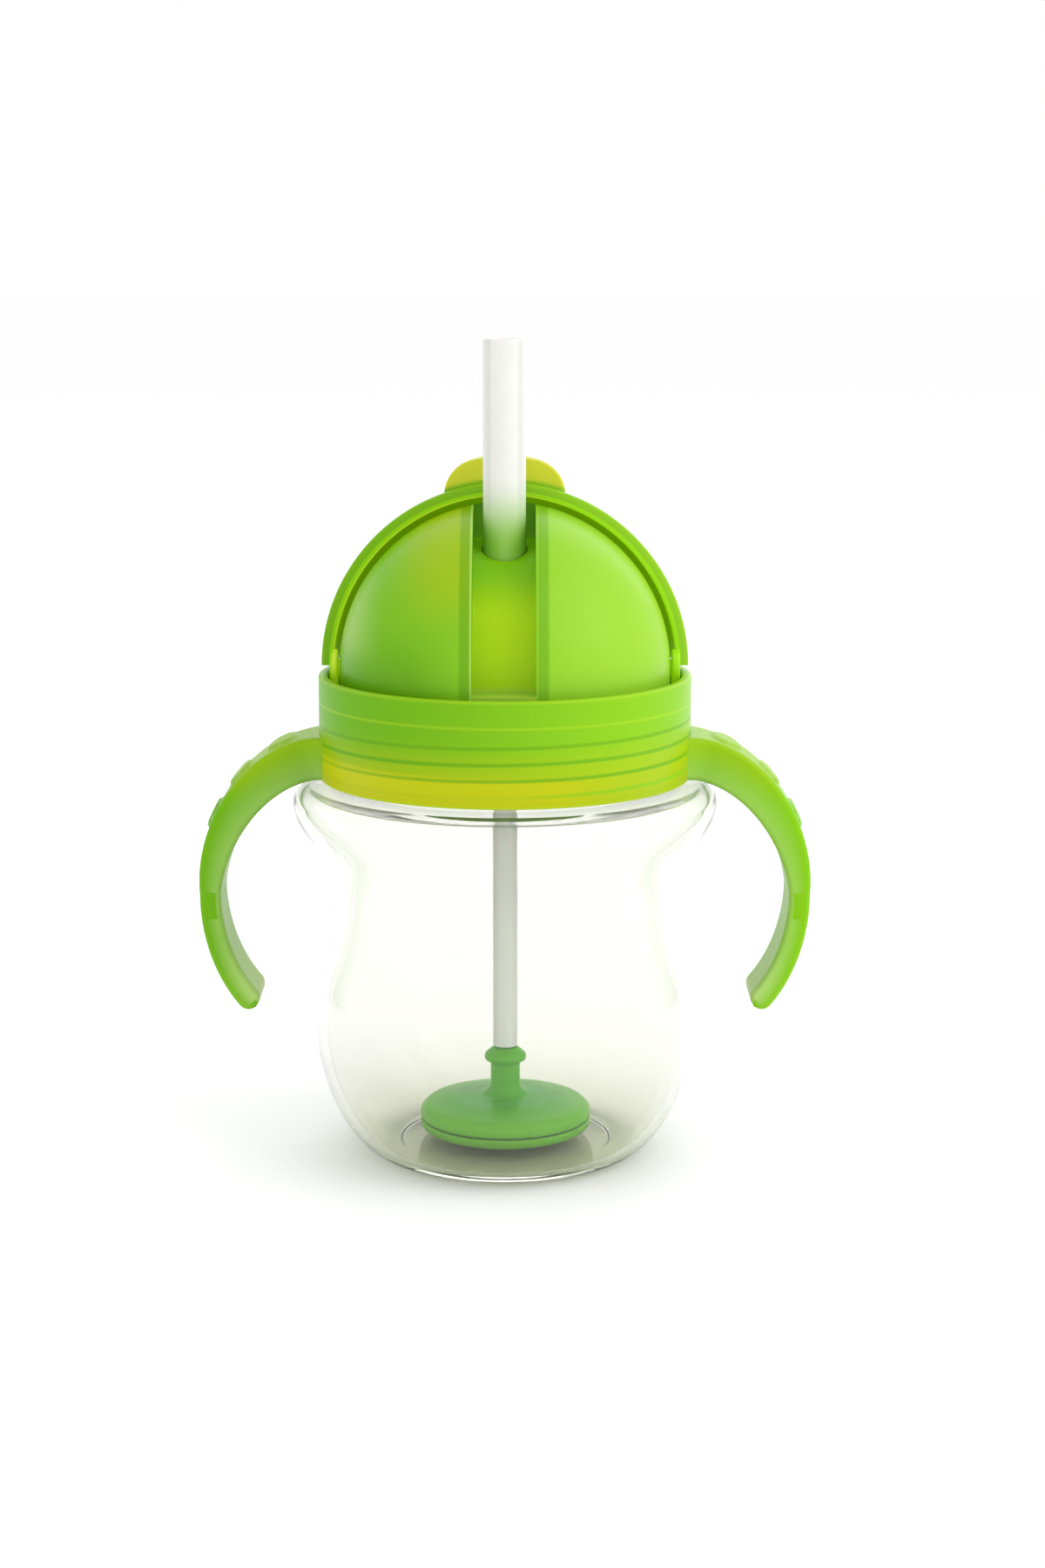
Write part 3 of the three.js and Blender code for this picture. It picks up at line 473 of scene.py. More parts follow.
# ---- Handles ----
# One curved band on each side, moulded with the collar: thick at the root, thin at the grip and
# round at the tip, with three low grip pads outside. The inner face lets the most light through.
# Sizes are in millimetres up to swept(), which gives them in metres.
ROOT = (34.6, 79.2)
KNEE = (57.15, 52.2)
TIP = (48.55, 29.9)
BAND_DEPTH = 14
SECTION_HALF = 2.0
EDGE = 1.1
ROOT_THICK = 8.4
GRIP_THICK = 4.1
TIP_SWELL = 0.5
TIP_ROUND = 2.3
ROOT_FLARE = 0.28
FLARE_RUN = 5.0
PAD_SHARES = (0.18, 0.41, 0.64)
PAD_HALF_LENGTH = 2.6
PAD_HALF_DEPTH = 4.9
PAD_RISE = 0.62
KNEE_STEP = 60
BAND_STATIONS = 190
root_leave = (ROOT[0] + 0.58 * (KNEE[0] - ROOT[0]), ROOT[1] - 0.54)
knee_arrive = (KNEE[0], KNEE[1] + 12.42)
knee_leave = (KNEE[0], KNEE[1] - 8.92)
tip_arrive = (KNEE[0] - 3.44, KNEE[1] - 17.394)
middle = [ROOT] + curve(ROOT, root_leave, knee_arrive, KNEE, KNEE_STEP)
middle += curve(KNEE, knee_leave, tip_arrive, TIP, 40)


def swept(name, outline, stations, put):
    """Sweeps a closed outline of (a, b) through stations, each point placed by put(share, a, b)."""
    made = wire(name, [(a * mm, 0, b * mm) for a, b in outline])
    bpy.ops.mesh.edge_face_add()
    for i in range(stations):
        bpy.ops.mesh.extrude_region_move(TRANSFORM_OT_translate={"value": (0, 1 * mm, 0)})
    bpy.ops.object.mode_set(mode="OBJECT")
    for vertex in made.data.vertices:
        station = round(vertex.co.y / mm)
        vertex.co = Vector(put(station / stations, vertex.co.x / mm, vertex.co.z / mm)) * mm
    bpy.ops.object.mode_set(mode="EDIT")
    finish_mesh(38)
    return made


def handle(name, side):
    """One handle band, right for side 1 and left for side -1, with its inner face marked."""
    turn_x = SECTION_HALF - EDGE
    turn_y = BAND_DEPTH / 2 - EDGE
    corner = [
        (turn_x + EDGE * math.sin(math.radians(a)), turn_y + EDGE * math.cos(math.radians(a)))
        for a in range(0, 91, 15)
    ]
    flats = [(SECTION_HALF, turn_y - (BAND_DEPTH - 2 * EDGE) * k / 12) for k in range(1, 12)]
    outer_side = corner + flats + [(a, -b) for a, b in reversed(corner)]
    outline = outer_side + [(-a, -b) for a, b in outer_side]
    lengths = [0.0]
    for before, after in zip(middle, middle[1:]):
        lengths.append(lengths[-1] + math.dist(before, after))
    whole = lengths[-1]
    to_knee = lengths[KNEE_STEP]
    pads = [lengths[round(KNEE_STEP * share)] for share in PAD_SHARES]

    def put(share, a, b):
        far = whole * share
        k = min(len(middle) - 2, max(i for i, l in enumerate(lengths) if l <= far + 1e-9))
        t = (far - lengths[k]) / (lengths[k + 1] - lengths[k])
        centre = Vector(middle[k]).lerp(Vector(middle[k + 1]), t)
        before = Vector(middle[max(0, k - 1)])
        after = Vector(middle[min(len(middle) - 1, k + 2)])
        along = (after - before).normalized()
        outward = Vector((-along.y, along.x))
        if far < to_knee:
            thick = GRIP_THICK + (ROOT_THICK - GRIP_THICK) * (1 - (far / to_knee) ** 1.6)
        else:
            thick = GRIP_THICK + TIP_SWELL * (far - to_knee) / (whole - to_knee)
        round_end = math.sqrt(max(0.0, 1 - (1 - min(1.0, (whole - far) / TIP_ROUND)) ** 2))
        reach = max(0.0, thick / 2 - SECTION_HALF + abs(a)) * round_end
        flare = 1 + ROOT_FLARE * max(0.0, 1 - far / FLARE_RUN) ** 2
        deep = b * (0.93 + 0.07 * round_end) * flare
        if a > 0.5:
            for pad in pads:
                oval = ((far - pad) / PAD_HALF_LENGTH) ** 2 + (b / PAD_HALF_DEPTH) ** 2
                reach += PAD_RISE * max(0.0, min(1.0, (1.12 - oval) / 0.3)) ** 0.8
        point = centre + outward * math.copysign(reach, a)
        return side * point.x, side * deep, point.y

    made = swept(name, outline, BAND_STATIONS, put)
    inner = made.data.attributes.new("inner_face", "FLOAT", "POINT")
    for vertex, mark in zip(made.data.vertices, inner.data):
        point = Vector((abs(vertex.co.x), vertex.co.z)) / mm
        nearest = min(range(len(middle)), key=lambda i: (Vector(middle[i]) - point).length)
        along = Vector(middle[min(len(middle) - 1, nearest + 1)]) - Vector(middle[max(0, nearest - 1)])
        outward = Vector((-along.y, along.x)).normalized()
        mark.value = 1.0 if (point - Vector(middle[nearest])).dot(outward) < -1.0 else 0.0
    return made


# Painted light: shaded on the left and lit on the right, paler towards the tip and on the inner face,
# where light shows through, and the same colour as emission, a painted glow. The outer faces turn olive
# towards the top.
lime_handle, shader, place, (x, y, z), base = lime("lime_handle", LIME_SHADED, (0.20, 0.50, 0.0))
inner_face = place.node("ShaderNodeAttribute", {"attribute_name": "inner_face"}, {}, output=2)
tip_light = 1 - z.ramp(28 * mm, 44 * mm)
low = (tip_light * 0.45).mix(base, (0.24, 0.50, 0.03))
pale = (inner_face * (0.35 + 0.5 * tip_light)).mix(low, (0.44, 0.62, 0.20))
top_strip = z.ramp(68 * mm, 78 * mm) * (1 - inner_face) * 0.6
skin = top_strip.mix(pale, (0.30, 0.46, 0.0))
dress(shader, lime_handle.node_tree, Base_Color=skin, Emission_Color=skin)
for name, side in (("handle_right", 1), ("handle_left", -1)):
    band = handle(name, side)
    band.data.materials.append(lime_handle)
    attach(band, "lid")

# ---- Dome ----
# A lime dome that clips into the collar. A square channel runs over its front for the folded
# straw, with a guide sleeve under its floor, and a socket on each side takes the cover's pins.
PIVOT_Z = 95.9 * mm
DOME = 31.9 * mm
DOME_BORE = 30.1 * mm
DOME_FOOT = 91.7 * mm
CHANNEL_FLOOR = 25.0 * mm
CHANNEL = 11.8 * mm
CHANNEL_WALL = 2 * mm
TRAY = 23 * mm
STRAW_Y = -7.8 * mm
STRAW = 4.05 * mm
STRAW_BORE = 2.75 * mm
STRAW_HOLE = 4.35 * mm
BOSS = 5.95 * mm
BOSS_FOOT = 110.6 * mm
BOSS_TOP = 119.25 * mm
EYE = 3.5 * mm
SOCKET_BORE = 1.85 * mm


def arc(radius, start, end, steps, centre=(0.0, 0.0)):
    """Points round an arc from start to end, in degrees from the first axis."""
    points = []
    for i in range(steps + 1):
        a = math.radians(start + (end - start) * i / steps)
        points.append((centre[0] + radius * math.cos(a), centre[1] + radius * math.sin(a)))
    return points


def only(piece):
    """Selects one piece alone, so that the next operator works on it."""
    bpy.ops.object.select_all(action="DESELECT")
    bpy.context.view_layer.objects.active = piece
    piece.select_set(True)


def combine(target, other, operation):
    """Joins or cuts target with other, which is used up."""
    only(target)
    step = target.modifiers.new("combine", "BOOLEAN")
    step.operation = operation
    step.object = other
    step.solver = "EXACT"
    bpy.ops.object.modifier_apply(modifier=step.name)
    bpy.data.objects.remove(other)


def soften(piece, width, segments, over=30):
    """Rounds the edges at which the piece's surface turns by more than over degrees."""
    only(piece)
    step = piece.modifiers.new("soft_edges", "BEVEL")
    step.width = width
    step.segments = segments
    step.limit_method = "ANGLE"
    step.angle_limit = math.radians(over)
    bpy.ops.object.modifier_apply(modifier=step.name)


def across(name, outline, width):
    """A slab with a closed (y, z) outline, centred on x = 0."""
    made = wire(name, [(-width / 2, y, z) for y, z in outline])
    bpy.ops.mesh.edge_face_add()
    bpy.ops.mesh.extrude_region_move(TRANSFORM_OT_translate={"value": (width, 0, 0)})
    finish_mesh(30)
    return made


def sector(radius, behind, foot_z):
    """Outside a radius about the pivot line: from behind the vertical to the front, then down."""
    beyond = DOME + 5 * mm
    inner = arc(radius, 90 - behind, 180, 60, (0, PIVOT_Z))
    outer = arc(beyond, 180, 90 - behind, 60, (0, PIVOT_Z))
    return inner + [(-radius, foot_z), (-beyond, foot_z)] + outer


def rod(name, radius, side, near, far, bevel=0.0):
    """A round rod on the pivot line, from near to far on one side of the middle."""
    bpy.ops.object.select_all(action="DESELECT")
    bpy.ops.mesh.primitive_cylinder_add(
        vertices=64, radius=radius, depth=far - near,
        location=(side * (near + far) / 2, 0, PIVOT_Z), rotation=(0, math.pi / 2, 0),
    )
    made = bpy.context.object
    made.name = name
    bpy.ops.object.transform_apply(location=True, rotation=True, scale=True)
    if bevel:
        soften(made, bevel, 3)
    bpy.ops.object.shade_smooth_by_angle(angle=math.radians(35))
    return made


def upright(name, radius, low, high):
    """A solid round bar on the drinking straw's line."""
    return turned(name, [(0, low), (radius, low), (radius, high), (0, high)], 64, lean_y=STRAW_Y)


dome_side = arc(DOME, 0, 90, 64, (0, PIVOT_Z))
bore_side = arc(DOME_BORE, 90, 0, 48, (0, PIVOT_Z))
shell_outline = [*reversed(dome_side), (DOME, DOME_FOOT), (DOME_BORE, DOME_FOOT), *reversed(bore_side)]
dome = turned("dome_shell", shell_outline, sides=160)
core_outline = [*reversed(dome_side), (DOME, DOME_FOOT), (0, DOME_FOOT)]
tray = turned("tray", core_outline, sides=160)
combine(tray, across("tray_band", sector(TRAY, 12, DOME_FOOT), CHANNEL + 2 * CHANNEL_WALL), "INTERSECT")
combine(dome, tray, "UNION")
combine(dome, upright("guide", BOSS, BOSS_FOOT, BOSS_TOP), "UNION")
combine(dome, across("channel_cut", sector(CHANNEL_FLOOR, 8, PIVOT_Z - 0.9 * mm), CHANNEL), "DIFFERENCE")
combine(dome, upright("straw_way", STRAW_HOLE, 100 * mm, 140 * mm), "DIFFERENCE")
for side in (-1, 1):
    combine(dome, rod("pad", EYE, side, 27.55 * mm, 31.5 * mm), "UNION")
    combine(dome, rod("socket", SOCKET_BORE, side, 29.35 * mm, 33 * mm), "DIFFERENCE")
soften(dome, 0.35 * mm, 2, over=50)
bpy.ops.object.shade_smooth_by_angle(angle=math.radians(35))

# In the dome's colour, painted light and shade: an olive patch of light left of the channel, shade low on
# the left, a pale sheen at the far left, a channel floor lit bright below and shaded at its top, with
# deeper shade on its walls and highlights along its left edge and its foot, and the tray's walls painted
# as darker bands as they show through. The same colour is its emission, a painted glow.
lime_dome, shader, place, (x, y, z), base = lime("lime_dome", (0.14, 0.40, 0.0), (0.31, 0.58, 0.03))
height = z.ramp(108 * mm, 117 * mm)
olive_light_patch = x.band(-24 * mm, -11 * mm, -7 * mm, -5.8 * mm) * z.ramp(104 * mm, 118 * mm)
low_left_shade = (1 - z.ramp(98 * mm, 110 * mm)) * (1 - x.ramp(-20 * mm, -6 * mm))
haze_and_sheen = (1 - x.ramp(-31 * mm, -22 * mm)) * z.ramp(97 * mm, 104 * mm) * 0.5
in_channel = x.band(-6.2 * mm, -5.8 * mm, 5.8 * mm, 6.2 * mm) * (1 - y.ramp(2 * mm, 6 * mm))
distance = place.math("SQRT", y * y + (z - PIVOT_Z) * (z - PIVOT_Z))
# Painted light and shade in the channel: a floor lit below and shaded at its top, and shaded walls.
floor_face = in_channel * (1 - distance.ramp(CHANNEL_FLOOR + 0.1 * mm, CHANNEL_FLOOR + 0.6 * mm))
shaded_wall = in_channel * distance.ramp(CHANNEL_FLOOR + 0.3 * mm, CHANNEL_FLOOR + 1.5 * mm)
tone = (olive_light_patch * 0.65).mix(base, (0.33, 0.44, 0.0))
tone = (low_left_shade * 0.5).mix(tone, (0.09, 0.28, 0.0))
tone = haze_and_sheen.mix(tone, (0.42, 0.60, 0.17))
tone = (floor_face * 0.9).mix(tone, height.mix((0.42, 0.66, 0.0), (0.20, 0.50, 0.0)))
tone = (shaded_wall * 0.7).mix(tone, (0.11, 0.34, 0.0))
beside = x.math("ABSOLUTE", x)
tray_wall = beside.band(6.0 * mm, 6.5 * mm, 7.9 * mm, 8.6 * mm) * (1 - y.ramp(4 * mm, 8 * mm))
tone = (tray_wall * 0.5).mix(tone, (0.08, 0.27, 0.0))
# Painted highlights along the channel's left edge and at its foot.
channel_edge_highlight = x.band(-6.5 * mm, -6.25 * mm, -6.1 * mm, -5.9 * mm) * (1 - y.ramp(0, 4 * mm))
tone = (channel_edge_highlight * 0.6).mix(tone, (0.40, 0.62, 0.12))
channel_foot_highlight = in_channel * (1 - z.ramp(95.2 * mm, 96.2 * mm)) * 0.6
tone = channel_foot_highlight.mix(tone, (0.40, 0.58, 0.06))
dress(shader, lime_dome.node_tree, Base_Color=tone, Emission_Color=tone)
dome.data.materials.clear()
dome.data.materials.append(lime_dome)
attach(dome, "lid")
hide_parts("lid_dome")

# ---- Flip cover ----
# A quarter sphere of lime plastic that swings on two pins. Its front edge is a thicker bead,
# cheeks hang into the groove round the dome, and a half-round thumb tab stands on the bead.
COVER = 35.5 * mm
COVER_BORE = 33.9 * mm
BEAD_BORE = 33.0 * mm
BEAD_WIDTH = 2.6 * mm
COVER_FOOT = 96.2 * mm
LIP_ROUND = 0.5 * mm
BRIDGE = 3.4 * mm
PIN = 1.6 * mm
CUTTER = 80 * mm
bead_angle = math.degrees(math.asin(BEAD_WIDTH / COVER_BORE))
bead_inner = math.asin(BEAD_WIDTH / BEAD_BORE)
bead_run = [(BEAD_BORE * math.cos(bead_inner * k / 4), BEAD_WIDTH * k / 4) for k in (4, 3, 2, 1)]
lip = [
    (BEAD_BORE + 0.12 * mm, 0.18 * mm), (BEAD_BORE + LIP_ROUND, 0),
    (COVER - LIP_ROUND, 0), (COVER - 0.14 * mm, 0.16 * mm),
]
cover_profile = arc(COVER_BORE, 90, bead_angle, 60) + bead_run + lip + arc(COVER, 1.0, 90, 72)
cover = wire("cover_shell", [(r, back, PIVOT_Z) for r, back in cover_profile])
bpy.ops.mesh.spin(steps=160, angle=math.pi, center=(0, 0, PIVOT_Z), axis=(0, 1, 0))
bpy.ops.mesh.select_all(action="SELECT")
bpy.ops.mesh.remove_doubles(threshold=0.002 * mm)
bpy.ops.mesh.select_all(action="DESELECT")
bpy.ops.mesh.select_non_manifold()
bpy.ops.mesh.fill()
finish_mesh(35)
bpy.ops.object.select_all(action="DESELECT")
bpy.ops.mesh.primitive_cube_add(size=CUTTER, location=(0, 0, COVER_FOOT - CUTTER / 2))
combine(cover, bpy.context.object, "DIFFERENCE")

for side in (-1, 1):
    combine(cover, rod("cheek", EYE, side, 32.2 * mm, 33.7 * mm, 0.35 * mm), "UNION")
    bridge = rod("bridge", BRIDGE, side, 33.2 * mm, 34.6 * mm)
    bpy.ops.object.mode_set(mode="EDIT")
    for on_plane, away in (((0, 0, COVER_FOOT + 0.02 * mm), (0, 0, -1)), ((0, 0.3 * mm, 0), (0, -1, 0))):
        bpy.ops.mesh.select_all(action="SELECT")
        bpy.ops.mesh.bisect(plane_co=on_plane, plane_no=away, use_fill=True, clear_outer=True)
    finish_mesh(35)
    combine(cover, bridge, "UNION")
    combine(cover, rod("pin", PIN, side, 29.6 * mm, 32.6 * mm, 0.2 * mm), "UNION")

TAB_HALF = 11.75 * mm
TAB_FOOT = 32.3 * mm
TAB_TIP = 40.8 * mm
TAB_THICK = 2.2 * mm
TAB_LEAN = 6
FULLNESS = 0.66
bulge = TAB_FOOT + FULLNESS * (TAB_TIP - TAB_FOOT)
brow = FULLNESS * TAB_HALF
tab_outline = (
    [(-TAB_HALF, TAB_FOOT), (TAB_HALF, TAB_FOOT)]
    + curve((TAB_HALF, TAB_FOOT), (TAB_HALF, bulge), (brow, TAB_TIP), (0, TAB_TIP), 24)
    + curve((0, TAB_TIP), (-brow, TAB_TIP), (-TAB_HALF, bulge), (-TAB_HALF, TAB_FOOT), 24)
)
tab = wire("tab", [(aside, -TAB_THICK / 2, PIVOT_Z + up) for aside, up in tab_outline])
bpy.ops.mesh.remove_doubles(threshold=0.002 * mm)
bpy.ops.mesh.select_all(action="SELECT")
bpy.ops.mesh.edge_face_add()
bpy.ops.mesh.extrude_region_move(TRANSFORM_OT_translate={"value": (0, TAB_THICK, 0)})
bpy.ops.mesh.select_all(action="SELECT")
bpy.ops.transform.rotate(
    value=math.radians(TAB_LEAN), orient_axis="X", center_override=(0, 0, PIVOT_Z), orient_type="GLOBAL"
)
finish_mesh(35)
soften(tab, 0.55 * mm, 4)
bpy.ops.object.select_all(action="DESELECT")
bpy.ops.mesh.primitive_uv_sphere_add(
    segments=160, ring_count=80, radius=34.7 * mm, location=(0, 0, PIVOT_Z)
)
ball = bpy.context.object
bpy.ops.object.transform_apply(location=True, rotation=True, scale=True)
combine(tab, ball, "DIFFERENCE")
combine(cover, tab, "UNION")
bpy.ops.object.shade_smooth_by_angle(angle=math.radians(35))

# In the cover's colour, all painted light: a sunlit line inside the bead on the left, a tab painted olive
# by light shining through it, with a painted highlight on its edge, and an inside that glows, as the sky
# shines through the plastic.
lime_cover, shader, place, (x, y, z), base = lime(
    "lime_cover", (0.15, 0.38, 0.0), (0.27, 0.54, 0.015), glow=0.55
)
out = place.math("SQRT", x * x + (z - PIVOT_Z) * (z - PIVOT_Z))
front = 1 - y.ramp(0.2 * mm, 1.0 * mm)
bead_highlight = front * (1 - out.ramp(BEAD_BORE + 0.15 * mm, BEAD_BORE + 0.45 * mm))
sunlit = 1 - x.ramp(4 * mm, 16 * mm)
tone = (bead_highlight * sunlit * 0.85).mix(base, (0.62, 0.64, 0.06))
off_axis = place.math("SQRT", x * x + y * y + (z - PIVOT_Z) * (z - PIVOT_Z))
# Painted light shining through the tab, and a painted highlight along its edge.
tab_backlight = off_axis.ramp(COVER + 0.1 * mm, COVER + 1.2 * mm) * z.ramp(120 * mm, 126 * mm)
tone = (tab_backlight * 0.85).mix(tone, (0.60, 0.58, 0.03))
tab_edge_highlight = off_axis.ramp(TAB_TIP - 0.9 * mm, TAB_TIP - 0.2 * mm)
tone = (tab_edge_highlight * 0.7).mix(tone, (0.72, 0.73, 0.30))
inside_glow = 1 - off_axis.ramp(COVER_BORE - 0.2 * mm, COVER_BORE + 0.3 * mm)
glow = (inside_glow * 0.9).mix((0.02, 0.04, 0.0), (0.22, 0.46, 0.0))
dress(shader, lime_cover.node_tree, Base_Color=tone, Emission_Color=glow)
cover.data.materials.clear()
cover.data.materials.append(lime_cover)
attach(cover, "cover")
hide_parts("flip_cover")

# ---- Silicone straw ----
# One milky silicone moulding in the real thing: the stem curves in under the dome and is held by
# its flange, and the part above folds at the dome. Here the part above is four separate lengths.
STRAW_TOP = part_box("straw_4")[1].z
FOLD_Z = 124.35 * mm
LENGTHS = 4
SEGMENT = (STRAW_TOP - FOLD_Z) / LENGTHS
STEM_TOP = FOLD_Z - SEGMENT / 2
STEM_FOOT = 92.52 * mm
BEND_TOP = 106.9 * mm
BEND_FOOT = 95.17 * mm
FLANGE_BORE = 3.4 * mm
FLANGE_FOOT = 108.7 * mm
FLANGE_TOP = 110.3 * mm
MOUTH_ROUND = 0.65 * mm


def pipe(name, low, high, rings, lip=0.0):
    """A length of the drinking straw, with rings along it so that it can bend, and a round lip."""
    wall = [(STRAW, low + (high - lip - low) * k / rings) for k in range(rings + 1)]
    back = [(STRAW_BORE, up) for _, up in reversed(wall)]
    crown = []
    if lip:
        half = (STRAW - STRAW_BORE) / 2
        for k in range(1, 10):
            a = math.pi * k / 10
            crown.append((STRAW_BORE + half + half * math.cos(a), high - lip + lip * math.sin(a)))
    return turned(name, wall + crown + back + [wall[0]], 72, 40, STRAW_Y)


def ring(name, bore, radius, low, high, corner_round, sides, lean_y=0.0):
    """A turned ring or tube with a rectangular section."""
    corners = [(bore, low), (radius, low), (radius, high), (bore, high)]
    return lathe(name, corners, corner_round, sides, lean_y)


silicone, shader, place, (x, y, z) = moulded("milky_silicone", 0.42)
grain = place.node("ShaderNodeTexNoise", {}, {"Vector": place, "Scale": 400.0, "Detail": 3.0})
# Painted light: the straw's foot turns green where light reaches it through the lime lid, and painted
# shade greys it towards its edges.
green_light_foot = (1 - z.ramp(121 * mm, 134 * mm)) * 0.95
edge_shade = x.math("ABSOLUTE", x).band(2.2 * mm, 2.9 * mm, 3.1 * mm, 4.0 * mm)
milk = (0.4 * grain + 0.6 * edge_shade).mix((0.76, 0.755, 0.72), (0.62, 0.62, 0.58))
tinted = green_light_foot.mix(milk, (0.25, 0.52, 0.03))
dress(
    shader, silicone.node_tree, Base_Color=tinted, Roughness=0.36 + 0.14 * grain,
    Normal=ripple(place, 5 * mm, 0.06 * mm),
)

stem = pipe("stem", STEM_FOOT, STEM_TOP, 60)
drop = BEND_TOP - BEND_FOOT
for vertex in stem.data.vertices:
    point = vertex.co.copy()
    if point.z < BEND_TOP:
        t = min(1.0, (BEND_TOP - point.z) / drop)
        shift = t * t * (3 - 2 * t)
        slope = 6 * t * (1 - t) * abs(STRAW_Y) / drop
        lean = math.atan(slope)
        local = point.y - STRAW_Y
        vertex.co.y = STRAW_Y * (1 - shift) + local * math.cos(lean)
        vertex.co.z = point.z + local * math.sin(lean)
flange = ring("stem_flange", FLANGE_BORE, BOSS, FLANGE_FOOT, FLANGE_TOP, 0.3 * mm, 64, STRAW_Y)
combine(stem, flange, "UNION")
stem.data.materials.clear()
stem.data.materials.append(silicone)
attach(stem, "lid")
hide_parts("straw_stem")

for k in range(LENGTHS):
    low = STEM_TOP + k * SEGMENT
    high = low + SEGMENT
    last = k == LENGTHS - 1
    end = STRAW_TOP if last else high
    length = pipe(f"straw_length_{k + 1}", low, end, 26, MOUTH_ROUND if last else 0.0)
    length.data.materials.append(silicone)
    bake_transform(length)
    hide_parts(f"straw_{k + 1}")

# ---- Connector ----
# A hard clear fitting on the cup's axis: a barrel with a collar at each end, one nipple up into
# the stem and one down into the tube.
SIP_WAY = 0.9 * mm
LOW_NIPPLE = 1.25 * mm
LOW_COLLAR = 3 * mm
BARREL = 4.2 * mm
HIGH_COLLAR = 3.5 * mm
HIGH_NIPPLE = 2.2 * mm
NIPPLE_FOOT = 81.8 * mm
LOW_COLLAR_FOOT = 83.82 * mm
BARREL_FOOT = 85.3 * mm
BARREL_TOP = 90.3 * mm
HIGH_COLLAR_TOP = 91.82 * mm
NIPPLE_TOP = 93.8 * mm
connector = lathe(
    "connector_fitting",
    [
        (SIP_WAY, NIPPLE_FOOT), (LOW_NIPPLE, NIPPLE_FOOT),
        (LOW_NIPPLE, LOW_COLLAR_FOOT), (LOW_COLLAR, LOW_COLLAR_FOOT),
        (LOW_COLLAR, BARREL_FOOT), (BARREL, BARREL_FOOT), (BARREL, BARREL_TOP), (HIGH_COLLAR, BARREL_TOP),
        (HIGH_COLLAR, HIGH_COLLAR_TOP), (HIGH_NIPPLE, HIGH_COLLAR_TOP),
        (HIGH_NIPPLE, NIPPLE_TOP), (SIP_WAY, NIPPLE_TOP),
    ],
    0.25 * mm, 64,
)
clear_hard, shader, place, _ = moulded("clear_fitting", 0.15, transmission=0.5)
speck = place.node("ShaderNodeTexNoise", {}, {"Vector": place, "Scale": 300.0})
dress(
    shader, clear_hard.node_tree, Base_Color=speck.mix((0.86, 0.88, 0.84), (0.94, 0.95, 0.92)),
    Roughness=0.1 + 0.15 * speck, Normal=ripple(place, 4 * mm, 0.03 * mm),
)
connector.data.materials.append(clear_hard)
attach(connector, "connector")
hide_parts("tube_connector")

# ---- Straw holder ----
# A clear hard cap inside the dome. It grips the guide sleeve, and its shelf holds the stem's
# flange up against the sleeve's end.
HOLDER = 7.45 * mm
HOLDER_BORE = 6.25 * mm
HOLDER_FOOT = 107.2 * mm
HOLDER_SHELF = 108.4 * mm
HOLDER_TOP = 112.8 * mm
holder = lathe(
    "holder_cap",
    [
        (HOLDER_BORE, HOLDER_SHELF), (HOLDER_BORE, HOLDER_TOP), (HOLDER, HOLDER_TOP),
        (HOLDER, HOLDER_FOOT), (STRAW_HOLE, HOLDER_FOOT), (STRAW_HOLE, HOLDER_SHELF),
    ],
    0.25 * mm, 64, STRAW_Y,
)
holder.data.materials.append(clear_hard)
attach(holder, "lid")
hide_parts("straw_holder")

# ---- Lower straw ----
# A soft silicone tube that is pushed over the connector's lower nipple and over the weight's.
# It is milky, and a little greyer at its edges, where more of the wall is looked through.
TUBE = 2.4 * mm
TUBE_BORE = 1.5 * mm
TUBE_FOOT = 20.4 * mm
TUBE_TOP = 83.1 * mm
lower = ring("lower_straw", TUBE_BORE, TUBE, TUBE_FOOT, TUBE_TOP, 0.15 * mm, 64)
tube_silicone, shader, place, (x, y, z) = moulded("tube_silicone", 0.35, transmission=0.12, subsurface=0.3)
streak = place.node("ShaderNodeTexNoise", {}, {"Vector": place, "Scale": 180.0, "Detail": 3.0})
rim_shade = x.math("ABSOLUTE", x).ramp(1.0 * mm, 2.3 * mm)
dress(
    shader, tube_silicone.node_tree,
    Base_Color=(rim_shade * 0.7 + streak * 0.2).mix((0.93, 0.93, 0.89), (0.74, 0.75, 0.68)),
    Roughness=0.3 + 0.15 * streak, Normal=ripple(place, 6 * mm, 0.04 * mm),
)
lower.data.materials.append(tube_silicone)
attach(lower, "weighted_straw")
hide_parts("lower_tube")

# ---- Weight ----
# A lens-shaped green case in two halves round a steel disc. Its top grows into a short stem with
# a knob like a nut, which the tube is pushed over, and the drink enters through its base.
CASE = 16.85 * mm
CASE_BORE = 15.65 * mm
SEAM_ABOVE = 6.19 * mm
SEAM_BELOW = 5.89 * mm
SHOULDER_FOOT = 7.7 * mm
SLOPE = 10.1 * mm
CROWN = 4.4 * mm
CROWN_TOP = 10.5 * mm
WEIGHT_STEM = 2.9 * mm
KNOB = 4.1 * mm
KNOB_LOW = 17.5 * mm
KNOB_HIGH = 18.7 * mm
WEIGHT_NIPPLE = 1.2 * mm
WEIGHT_NIPPLE_FOOT = 20.1 * mm
WEIGHT_NIPPLE_TOP = 21.7 * mm
WEIGHT_WAY = 0.7 * mm
INTAKE = 1.8 * mm
CASE_FOOT = 3.7 * mm
CASE_FLOOR = 4.9 * mm
